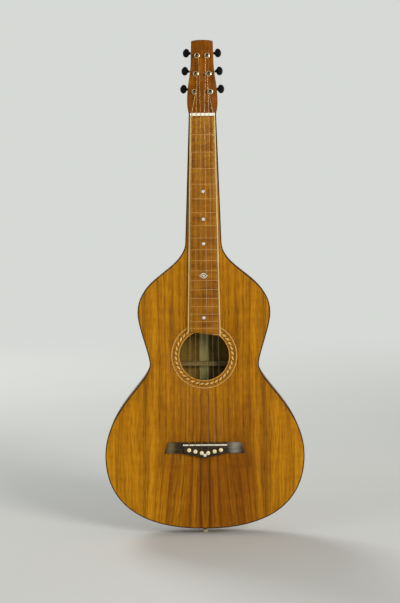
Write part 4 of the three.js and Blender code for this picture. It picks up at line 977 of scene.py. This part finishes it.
# The head's right-hand edge from the nut to the middle of its top, in the head's own frame
def headEdge():
    start, flare = body["neckEnd"][0] / 2, head["flareWidth"] / 2
    straight, top = head["straightWidth"] / 2, head["topWidth"] / 2
    flareZ, straightZ, topZ = head["flareHeight"], head["straightHeight"], head["length"]
    taper, cornerZ, corner = straightZ - flareZ, topZ - head["crown"], head["cornerRadius"]
    swell = bezier([
        (start, 0), (lerp(start, flare, head["flareLeaveShare"]), flareZ * head["flareArriveShare"]),
        (flare, flareZ * (1 - head["flareArriveShare"])), (flare, flareZ)], head["swellSteps"])
    narrowing = bezier([
        (flare, flareZ), (flare, flareZ + head["taperLeaveShare"] * taper),
        (straight, straightZ - head["taperArriveShare"] * taper), (straight, straightZ)], head["taperSteps"])
    crownStart, pull = (top - corner, cornerZ + head["cornerLift"]), head["cornerPull"]
    shoulder = bezier([(top, cornerZ - corner), (top, cornerZ - pull), (top - pull, cornerZ), crownStart],
                      head["cornerSteps"])
    outer, inner = [top * share for share in head["crownPulls"]]
    crown = bezier([crownStart, (outer, cornerZ + head["crownRise"]), (inner, topZ), (0, topZ)],
                   head["crownSteps"])
    return swell + narrowing[1:] + shoulder + crown[1:]


# The head's whole outline drawn in and set back, by a share of a rounding that changes with height
def headRing(share, roundAt, depth, towards):
    inwards, sunk = 1 - math.sin(math.pi / 2 * share), 1 - math.cos(math.pi / 2 * share)
    edge = headEdge()
    moved = drawIn(edge, lambda z: roundAt(z) * inwards, (1, 0, 0), (0, 0, 1))
    right = [Vector((new.x, depth + towards * roundAt(old.z) * sunk, new.z))
             for old, new in zip(edge, moved)]
    return right + [Vector((-point.x, point.y, point.z)) for point in reversed(right) if point.x > 1e-6]


# Depth of the head's back at a height: it bends down to the back of the neck
def headDepth(height):
    neckBack = head["step"] + body["neckDepth"]
    neckZ = neckBack * math.sin(headTilt)
    if height >= head["fairing"]:
        return head["thickness"]
    low, high = 0.0, 1.0
    for _ in range(30):
        share = (low + high) / 2
        isAbove = bend(head["fairing"], neckZ + head["fairingLead"], neckZ, share) > height
        low, high = (share, high) if isAbove else (low, share)
    return bend(head["thickness"], head["thickness"], neckBack * math.cos(headTilt), share)


def headBlock():
    def frontRound(height):
        off = (height - head["flareHeight"] - head["flareRoundLift"]) / head["flareRoundReach"]
        return head["edgeRound"] + head["flareRound"] * math.exp(-off ** 2)

    front, behind = head["frontSteps"], head["backSteps"]
    rings = [headRing(step / front, frontRound, 0, 1) for step in range(front + 1)]
    rings += [headRing(step / behind, lambda z: head["backRound"], head["thickness"], -1)
              for step in range(behind, -1, -1)]
    bm = loft([[point * mm for point in ring] for ring in rings])
    for height in head["fairingCuts"]:
        cutAt(bm, (0, 0, height * mm))
    for vert in bm.verts:
        y, z = vert.co.y / mm, vert.co.z / mm
        if y > head["fairingDepth"]:
            y += headDepth(z) - head["thickness"]
        vert.co.y = y * mm
        vert.co.z = max(z, y * math.tan(headTilt)) * mm
    addPiece("headBlock", moveTo(bm, headFrame), headKoa, "headstock", sharp=28)


headBlock()
print("head ready")

# Tuning machines: plates on the back, worms turned by the buttons, wheels and posts

# Profiles are (radius, distance along the axis). The cap's counts from the post's top, the
# washer's from the head's face, and the neck's and collar's from the button's near end.
tuner = {
    "firstDistance": 41.2, "firstOffset": 15.3, "pitch": 35.1, "splay": 4.5, "plate": 1.2, "axisHeight": 3.6,
    "plateRound": 0.18, "postHeight": 13.5, "postRadius": 3, "postHead": 4.6, "barrelRadius": 2.3,
    "foot": 1.9, "neckRound": (0.25, 0.3, 0.9), "footRound": (0.3, 0.7), "gearSeat": 1.5,
    "hollowRadius": 2, "hollowDepth": 1.3,
    "cap": ((0, -1.2), (1.0, -1.1), (1.35, -0.3), (1.7, -0.05), (2.3, 0), (2.8, -0.35), (3, -1.1)),
    "gearScrew": ((0, 0), (2.3, 0), (2.3, -2.4), (2.0, -2.8), (0, -2.8)),
    "teeth": 14, "module": 0.62, "addendum": 0.5, "dedendum": 0.7, "pressureAngle": 20, "toothShare": 0.37,
    "toothRound": 0.12, "wheelWidth": 3, "wormRadius": 2.3, "wormTurns": 3, "wormSteps": 24,
    "wormMargin": 0.6, "wormRoot": 0.3, "shaftRadius": 1.4, "shaftEnd": 2.45,
    "neck": ((1.4, -3.4), (2.1, -3.2), (2.5, -2.6), (2.1, -2.0), (2.3, -1.4), (2.3, 1.5), (0, 1.5)),
    "collar": ((0, -1.6), (2.5, -1.6), (2.7, -1.0), (2.7, 0.4), (3.2, 1.8), (3.2, 3.4), (0, 3.4)),
    "washer": ((3.25, -0.6), (5.2, -0.6), (5.2, 0.5), (5, 0.85), (4.5, 1), (4.1, 0.9), (3.85, 0.6),
               (3.55, 0.45), (3.25, 0.3), (3.25, -0.6)),
}
button = {
    "reach": 21.5, "length": 13.2, "width": 17.2, "thickness": 7.4, "levels": 12, "steps": 40,
    "faceShare": 0.62, "roundPower": 0.7,
}
screw = {
    "profile": ((0, 0.95), (0.9, 0.85), (1.6, 0.55), (2.1, 0.05), (2.1, -0.3), (0, -0.3)),
    "slotHalf": 0.32, "slotReach": 1.7, "slotDepth": 0.35, "slotFloor": 0.1,
    "offset": 0.5, "heights": (-4.6, 21, 56, 78.6),
}
plateBack = head["thickness"] + strings["running"] + tuner["plate"]
shaftY = plateBack + tuner["axisHeight"]
pitchRadius = tuner["module"] * tuner["teeth"] / 2
rootRadius = pitchRadius - tuner["dedendum"]
wormLead = math.pi * tuner["module"]
flank = math.tan(math.radians(tuner["pressureAngle"]))
tipHalf, rootHalf = [tuner["toothShare"] * wormLead / 2 + flank * height
                     for height in (-tuner["addendum"], tuner["dedendum"])]


# Side and place of a machine on the head, and its own frame: x runs along the shaft to the
# button, y to the back and z to the head's top
def machine(at):
    side = -1 if at < stringCount / 2 else 1
    row = min(at, stringCount - 1 - at)
    splay = math.radians(tuner["splay"])
    x = side * (tuner["firstOffset"] - row * tuner["pitch"] * math.sin(splay))
    z = tuner["firstDistance"] + row * tuner["pitch"] * math.cos(splay)
    seat = headFrame @ Matrix.Translation(Vector((x, 0, z)) * mm) @ Matrix.Rotation(-side * splay, 4, "Y")
    return side, x, z, seat @ Matrix.Scale(side, 4, (1, 0, 0))


def post(at):
    number, seat = stringCount - at, machine(at)[3]
    top, foot = tuner["postHeight"], tuner["foot"]
    radius, barrel = tuner["postRadius"], tuner["barrelRadius"]
    neck = top - tuner["postHead"]
    (inset, low, high), (bevel, drop) = tuner["neckRound"], tuner["footRound"]
    bm = lathe(raised(tuner["cap"], top) + [
        (radius, neck + high), (radius - inset, neck + low), (barrel, neck), (barrel, foot),
        (radius - bevel, foot - bevel), (radius, foot - drop), (radius, tuner["gearSeat"] - shaftY),
        (radius, -shaftY), (0, -shaftY),
    ], 32)
    # Faces in the hollow of the post's end take the painted shade
    for face in bm.faces:
        centre = face.calc_center_median() / mm
        if centre.z > top - tuner["hollowDepth"] and centre.xy.length < tuner["hollowRadius"]:
            face.material_index = 1
    moveTo(bm, toFront)
    mergeInto(bm, moveTo(lathe(raised(tuner["gearScrew"], -shaftY), 28), toFront))
    addPiece(f"windingPost{number}", moveTo(bm, seat), [dulledShadedNickel, postHollowShade],
             f"string_post_{number}", rides=f"winding_post_{number}")


def wheel(at):
    number, seat = stringCount - at, machine(at)[3]
    tip = rootRadius + tuner["dedendum"] + tuner["addendum"]
    corners = ((rootRadius, -rootHalf), (tip, -tipHalf), (tip, tipHalf), (rootRadius, rootHalf))
    outline = []
    for tooth in range(tuner["teeth"]):
        middle = math.pi / 2 + math.tau * (tooth + 0.5) / tuner["teeth"]
        for radius, half in corners:
            turn = middle + half / radius
            outline.append(Vector((
                radius * math.cos(turn), shaftY - tuner["wheelWidth"] / 2, radius * math.sin(turn))) * mm)
    bm = slab(outline, tuner["wheelWidth"])
    # The teeth lean by the worm's lead
    twist = wormLead / (math.tau * tuner["wormRadius"]) / pitchRadius
    for vert in bm.verts:
        vert.co = Matrix.Rotation(-twist * (vert.co.y / mm - shaftY), 3, "Y") @ vert.co
    soften(bm, tuner["toothRound"], 1, 50)
    addPiece(f"wormWheel{number}", moveTo(bm, seat), brass, rides=f"winding_post_{number}")


def nutX(at):
    return strings["nutSpan"] * rowShare(at)


# The winding's radius, the string's place behind the nut, and the length and bearing of its
# straight run between the two, in the head's own frame
def windingStart(at):
    side, x, z, _ = machine(at)
    radius = tuner["barrelRadius"] + strings["lift"] + strings["diameters"][at] / 2
    nutBack = headFrame.inverted() @ spot(nutX(at), -strings["nutHeight"], headZ) / mm
    run = Vector((x - nutBack.x, z - nutBack.z))
    bearing = math.atan2(run.y, run.x) + side * math.asin(radius / run.length)
    return radius, nutBack, math.sqrt(run.length ** 2 - radius ** 2), bearing


def winding(at):
    number, (side, _, _, seat) = stringCount - at, machine(at)
    diameter, steps = strings["diameters"][at], strings["windingSteps"]
    radius, _, _, bearing = windingStart(at)
    angle = bearing + side * math.pi / 2
    first = (math.pi - angle if side < 0 else angle) - math.radians(tuner["splay"])
    pitch = diameter + strings["gap"]
    points = []
    for step in range(int(strings["turns"][at] * steps) + 1):
        turned = first - math.tau * step / steps
        y = pitch * step / steps - strings["windingTop"] + diameter / 2
        points.append(Vector((radius * math.cos(turned), y, radius * math.sin(turned))))
    points.append(Vector((0, points[-1].y + pitch / steps, 0)))
    bm = wire([seat @ (point * mm) for point in points], diameter, 2)
    addPiece(f"stringTurns{number}", bm, bronze if side < 0 else steel,
             rides=f"winding_post_{number}", sharp=60)


# A tooth section turned round the shaft while it moves along it
def wormThread(core):
    turns, tip, low = tuner["wormTurns"], tuner["wormRadius"] + tuner["addendum"], core - tuner["wormRoot"]
    start, steps = -wormLead * turns / 2, tuner["wormSteps"] * turns
    section = ((-rootHalf, low), (-rootHalf, core), (-tipHalf, tip), (tipHalf, tip), (rootHalf, core),
               (rootHalf, low))
    bm = bmesh.new()
    first = bm.faces.new([bm.verts.new(((start + x) * mm, 0, radius * mm)) for x, radius in section])
    moveTo(bm, Matrix.Rotation(math.pi * turns + math.pi, 4, "X"))
    bmesh.ops.spin(bm, geom=[first], cent=(0, 0, 0), axis=(1, 0, 0), angle=-math.tau * turns, steps=steps,
                   dvec=(wormLead * turns / steps * mm, 0, 0))
    return bm


# A flat oval whose rim is fully rounded, made of rings from face to face, on a turned collar
def ovalButton(reach):
    rings = []
    for level in range(button["levels"] + 1):
        turn = math.pi * level / button["levels"]
        grow = button["faceShare"] + (1 - button["faceShare"]) * math.sin(turn) ** button["roundPower"]
        y = -button["thickness"] / 2 * math.cos(turn)
        angles = [math.tau * step / button["steps"] for step in range(button["steps"])]
        rings.append([Vector((
            button["reach"] + button["length"] / 2 * grow * math.cos(angle), y,
            button["width"] / 2 * grow * math.sin(angle))) * mm for angle in angles])
    return mergeInto(loft(rings), moveTo(lathe(raised(tuner["collar"], reach), 28), toSide))


def shaft(at):
    number, seat = stringCount - at, machine(at)[3]
    line = seat @ Matrix.Translation(Vector((0, shaftY, pitchRadius + tuner["wormRadius"])) * mm)
    core, thin = tuner["wormRadius"] - tuner["dedendum"], tuner["shaftRadius"]
    half = tuner["wormTurns"] * wormLead / 2 + tuner["wormMargin"]
    end, reach = half + tuner["shaftEnd"], button["reach"] - button["length"] / 2
    bm = moveTo(lathe([
        (0, -end), (thin - 0.3, -end), (thin, 0.3 - end), (thin, -half), (core, -half), (core, half),
        (thin, half), *raised(tuner["neck"], reach),
    ], 28), toSide)
    mergeInto(bm, wormThread(core))
    rides = f"tuner_knob_{number}"
    addPiece(f"wormShaft{number}", moveTo(bm, line), steel, f"tuner_shaft_{number}", rides=rides)
    addPiece(f"ovalButton{number}", moveTo(ovalButton(reach), line), blackButton,
             rides=rides, sharp=50)


def slottedScrew(z):
    bm = lathe(screw["profile"], 24)
    for vert in bm.verts:
        inSlot = abs(vert.co.y) < screw["slotHalf"] * mm and vert.co.xy.length < screw["slotReach"] * mm
        if inSlot and vert.co.z > screw["slotFloor"] * mm:
            vert.co.z -= screw["slotDepth"] * mm
    place = Matrix.Translation(Vector((screw["offset"], plateBack, z)) * mm)
    return moveTo(bm, place @ Matrix.Rotation(-math.pi / 2, 4, "X"))


washers = bmesh.new()
for at in range(stringCount):
    post(at)
    wheel(at)
    winding(at)
    shaft(at)
    mergeInto(washers, moveTo(lathe(tuner["washer"], 36), machine(at)[3] @ toFront))
addPiece("postWashers", washers, brightNickel)
for (side, word), at in zip(sides, (0, stringCount - 1)):
    node = "tuner_plate_" + word.lower()
    addPiece("machinePlate" + word, softCopy(node, tuner["plateRound"], 2), nickel, node)
    screws = bmesh.new()
    for height in screw["heights"]:
        mergeInto(screws, slottedScrew(height))
    addPiece("plateScrews" + word, moveTo(screws, machine(at)[3]), nickel)
print("tuning machines ready")

# Strings, from beside their windings over nut and saddle into the pins


def stringRun(at):
    number, side = stringCount - at, machine(at)[0]
    diameter, gap, running = strings["diameters"][at], strings["slotGap"], strings["running"]
    radius, ball = diameter / 2, strings["ballRadius"]
    pinX, pinZ = pinPlace(at)
    # Over the saddle's crown and down past the pin's head, at a slope that just clears both
    crownHeight = bridge["height"] + bridge["saddleProud"] + gap + radius
    dipHeight = bridge["height"] - running - radius
    dipZ = pinZ + pins["headRadius"] + running
    drop = math.atan2(crownHeight - dipHeight, scale["saddle"] - dipZ)
    crownZ = scale["saddle"] - (gap + radius) * math.tan(drop / 2)
    slope = (crownHeight - dipHeight) / (crownZ - dipZ)
    grooveZ = pinZ + pins["grooveFloor"] + gap + radius
    grooveHeight = dipHeight - slope * (dipZ - grooveZ)
    crownX = lerp(nutX(at), pinX, (scale["nut"] - scale["saddle"]) / (scale["nut"] - pinZ))
    # The far end stops beside the winding
    turns, nutBack, tangent, bearing = windingStart(at)
    share = 1 - math.sqrt((turns + radius + running) ** 2 - (turns - radius) ** 2) / tangent
    postEnd = headFrame @ (Vector((
        nutBack.x + math.cos(bearing) * tangent * share,
        lerp(nutBack.y, radius - strings["windingTop"], share),
        nutBack.z + math.sin(bearing) * tangent * share)) * mm)
    ballDepth = strings["plateBack"] + running
    overNut = [spot(nutX(at), -strings["nutHeight"], height) for height in (headZ, scale["nut"])]
    bm = wire([
        postEnd, *overNut, spot(crownX, -crownHeight, crownZ), spot(pinX, -grooveHeight, grooveZ),
        spot(pinX, ballDepth + radius, grooveZ),
    ], diameter)
    turned = [math.pi * step / strings["ballSteps"] for step in range(strings["ballSteps"] + 1)]
    ballEnd = lathe([(ball * math.sin(turn), -ball * math.cos(turn)) for turn in turned], 20)
    place = spot(pinX, ballDepth + ball, pinZ + pins["topRadius"] + running + ball)
    mergeInto(bm, moveTo(ballEnd, Matrix.Translation(place)))
    material, slot = (bronze, "wound_bronze") if side < 0 else (steel, "plain_steel")
    addPiece(f"tautString{number}", bm, material, f"string_{number}", sharp=60)


for at in range(stringCount):
    stringRun(at)

# The cut end of a string that sticks out beside its post
loose = {"machine": 4, "start": 2.6, "length": 9.5, "height": 5.2, "rise": 1.4, "lift": 1.2, "diameter": 0.9}
tail = [(0, -loose["height"], 0)]
for share in (0, 0.25, 0.5, 0.75, 1):
    tail.append((-loose["start"] - loose["length"] * share, -loose["height"] - loose["rise"] * share ** 2,
                 loose["lift"] * share))
seat = machine(loose["machine"])[3]
addPiece("stringTailEnd", wire([seat @ (Vector(point) * mm) for point in tail], loose["diameter"], 2), steel,
         rides="winding_post_2")
print("strings ready")

# Inner woodwork keeps its CAD shapes

inner = {
    spruceAcross: ["upper_top_brace", "lower_face_brace",
                   *[f"back_brace_{number}" for number in (1, 2, 3, 4)]],
    spruceAlong: ["back_centre_strip",
                  *[f"{plate}_lining_{side}" for plate in ("top", "back") for side in ("bass", "treble")]],
    spruceRising: ["x_brace_treble"],
    spruceFalling: ["x_brace_bass"],
    mahogany: ["tail_block", "bridge_plate"],
}
for material, names in inner.items():
    for name in names:
        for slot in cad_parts[name].material_slots:
            slot.material = material

# Floor, lights and camera

# A pale floor that fades into the pale surround, so that no edge shows from any side. The lamps
# light its middle, and its far part and the world only show to the camera and in reflections.
stage = {
    "radius": 14, "litRadius": 1.5, "fadedRadius": 4.5, "floor": "e6e8e4", "mottle": "d4d6d2",
    "surround": "d6d9d5", "world": "fbfcfb", "worldLight": 0.25,
}


def showOnly(add):
    path = add("LightPath", {}).node.outputs
    seen = add("Math", {0: path["Is Camera Ray"], 1: path["Is Glossy Ray"]}, operation="MAXIMUM")
    return add("Math", {0: seen, 1: path["Is Transmission Ray"]}, operation="MAXIMUM")


paleFloor, add = newMaterial("paleMattFloor", {"Roughness": 0.9, "Specular IOR Level": 0.1})
place = add("TexCoord", {}, out="Object")
mottle = add("TexNoise", {"Vector": place, "Scale": 2.0, "Detail": 2.0})
share = add("MapRange", {0: mottle, 3: 0.0, 4: 0.3})
colour = add("Mix", {0: share, 6: tone(stage["floor"]), 7: tone(stage["mottle"])})
linkShader(paleFloor, {"Base Color": colour})
distance = add("VectorMath", {0: place}, out="Value", operation="LENGTH")
faded = add("MapRange", {0: distance, 1: stage["litRadius"], 2: stage["fadedRadius"]}, **smooth)
faded = add("Math", {0: faded, 1: showOnly(add)}, operation="MULTIPLY")
glow = add("Emission", {"Color": tone(stage["surround"])})
nodes = paleFloor.node_tree.nodes
blend = add("MixShader", {0: faded, 1: nodes["Principled BSDF"].outputs[0], 2: glow})
paleFloor.node_tree.links.new(blend, nodes["Material Output"].inputs["Surface"])

sheet = bmesh.new()
bmesh.ops.create_circle(sheet, cap_ends=True, radius=stage["radius"], segments=96)
floorSheet = newObject("floorSheet", toMesh("floorSheet", sheet, paleFloor))

# Soft boxes, in metres, aimed at the middle of the guitar
lampAim = Vector((0, 0, 0.45))
lamps = {
    "keyLight": {"place": (2.7, -4.2, 1.7), "size": 1.8, "watts": 198, "tone": "fffaf2"},
    "fillLight": {"place": (-4.0, -3.6, 2.4), "size": 2.6, "watts": 45, "tone": "f6faff"},
    "backLight": {"place": (-2.2, 4.4, 3.4), "size": 2.4, "watts": 150, "tone": "ffffff"},
}
for name, values in lamps.items():
    lamp = bpy.data.lights.new(name, "AREA")
    lamp.shape = "RECTANGLE"
    lamp.size = lamp.size_y = values["size"]
    lamp.energy = values["watts"]
    lamp.color = tone(values["tone"])[:3]
    holder = newObject(name, lamp)
    holder.location = values["place"]
    holder.rotation_euler = (lampAim - holder.location).to_track_quat("-Z", "Y").to_euler()
    holder.visible_camera = False

world = bpy.context.scene.world or bpy.data.worlds.new("studio")
bpy.context.scene.world = world
world.use_nodes = True
add = partial(addNode, world.node_tree)
seen = showOnly(add)
hue = add("Mix", {0: seen, 6: tone(stage["world"]), 7: tone(stage["surround"])})
level = add("MapRange", {0: seen, 3: stage["worldLight"], 4: 1.0})
background = world.node_tree.nodes["Background"]
world.node_tree.links.new(hue, background.inputs["Color"])
world.node_tree.links.new(level, background.inputs["Strength"])

# The camera stands where the photograph was taken: far off, a little above and turned slightly
camera = {"elevation": 4, "distance": 3.2, "lens": 148.1, "aimX": -7.48, "aimHeight": 447.3, "roll": -0.443}
aim = spot(camera["aimX"], 0, camera["aimHeight"])
rise = math.radians(camera["elevation"])
lens = bpy.data.cameras.new("camera")
lens.sensor_fit = "HORIZONTAL"
lens.sensor_width = 36
lens.lens = camera["lens"]
lens.clip_end = 60
viewer = newObject("camera", lens)
viewer.location = aim + camera["distance"] * Vector((0, -math.cos(rise), math.sin(rise)))
turned = (aim - viewer.location).to_track_quat("-Z", "Y").to_matrix().to_4x4()
viewer.rotation_euler = (turned @ Matrix.Rotation(math.radians(camera["roll"]), 4, "Z")).to_euler()
bpy.context.scene.camera = viewer
bpy.context.scene.view_settings.view_transform = "Standard"
print("stage ready")
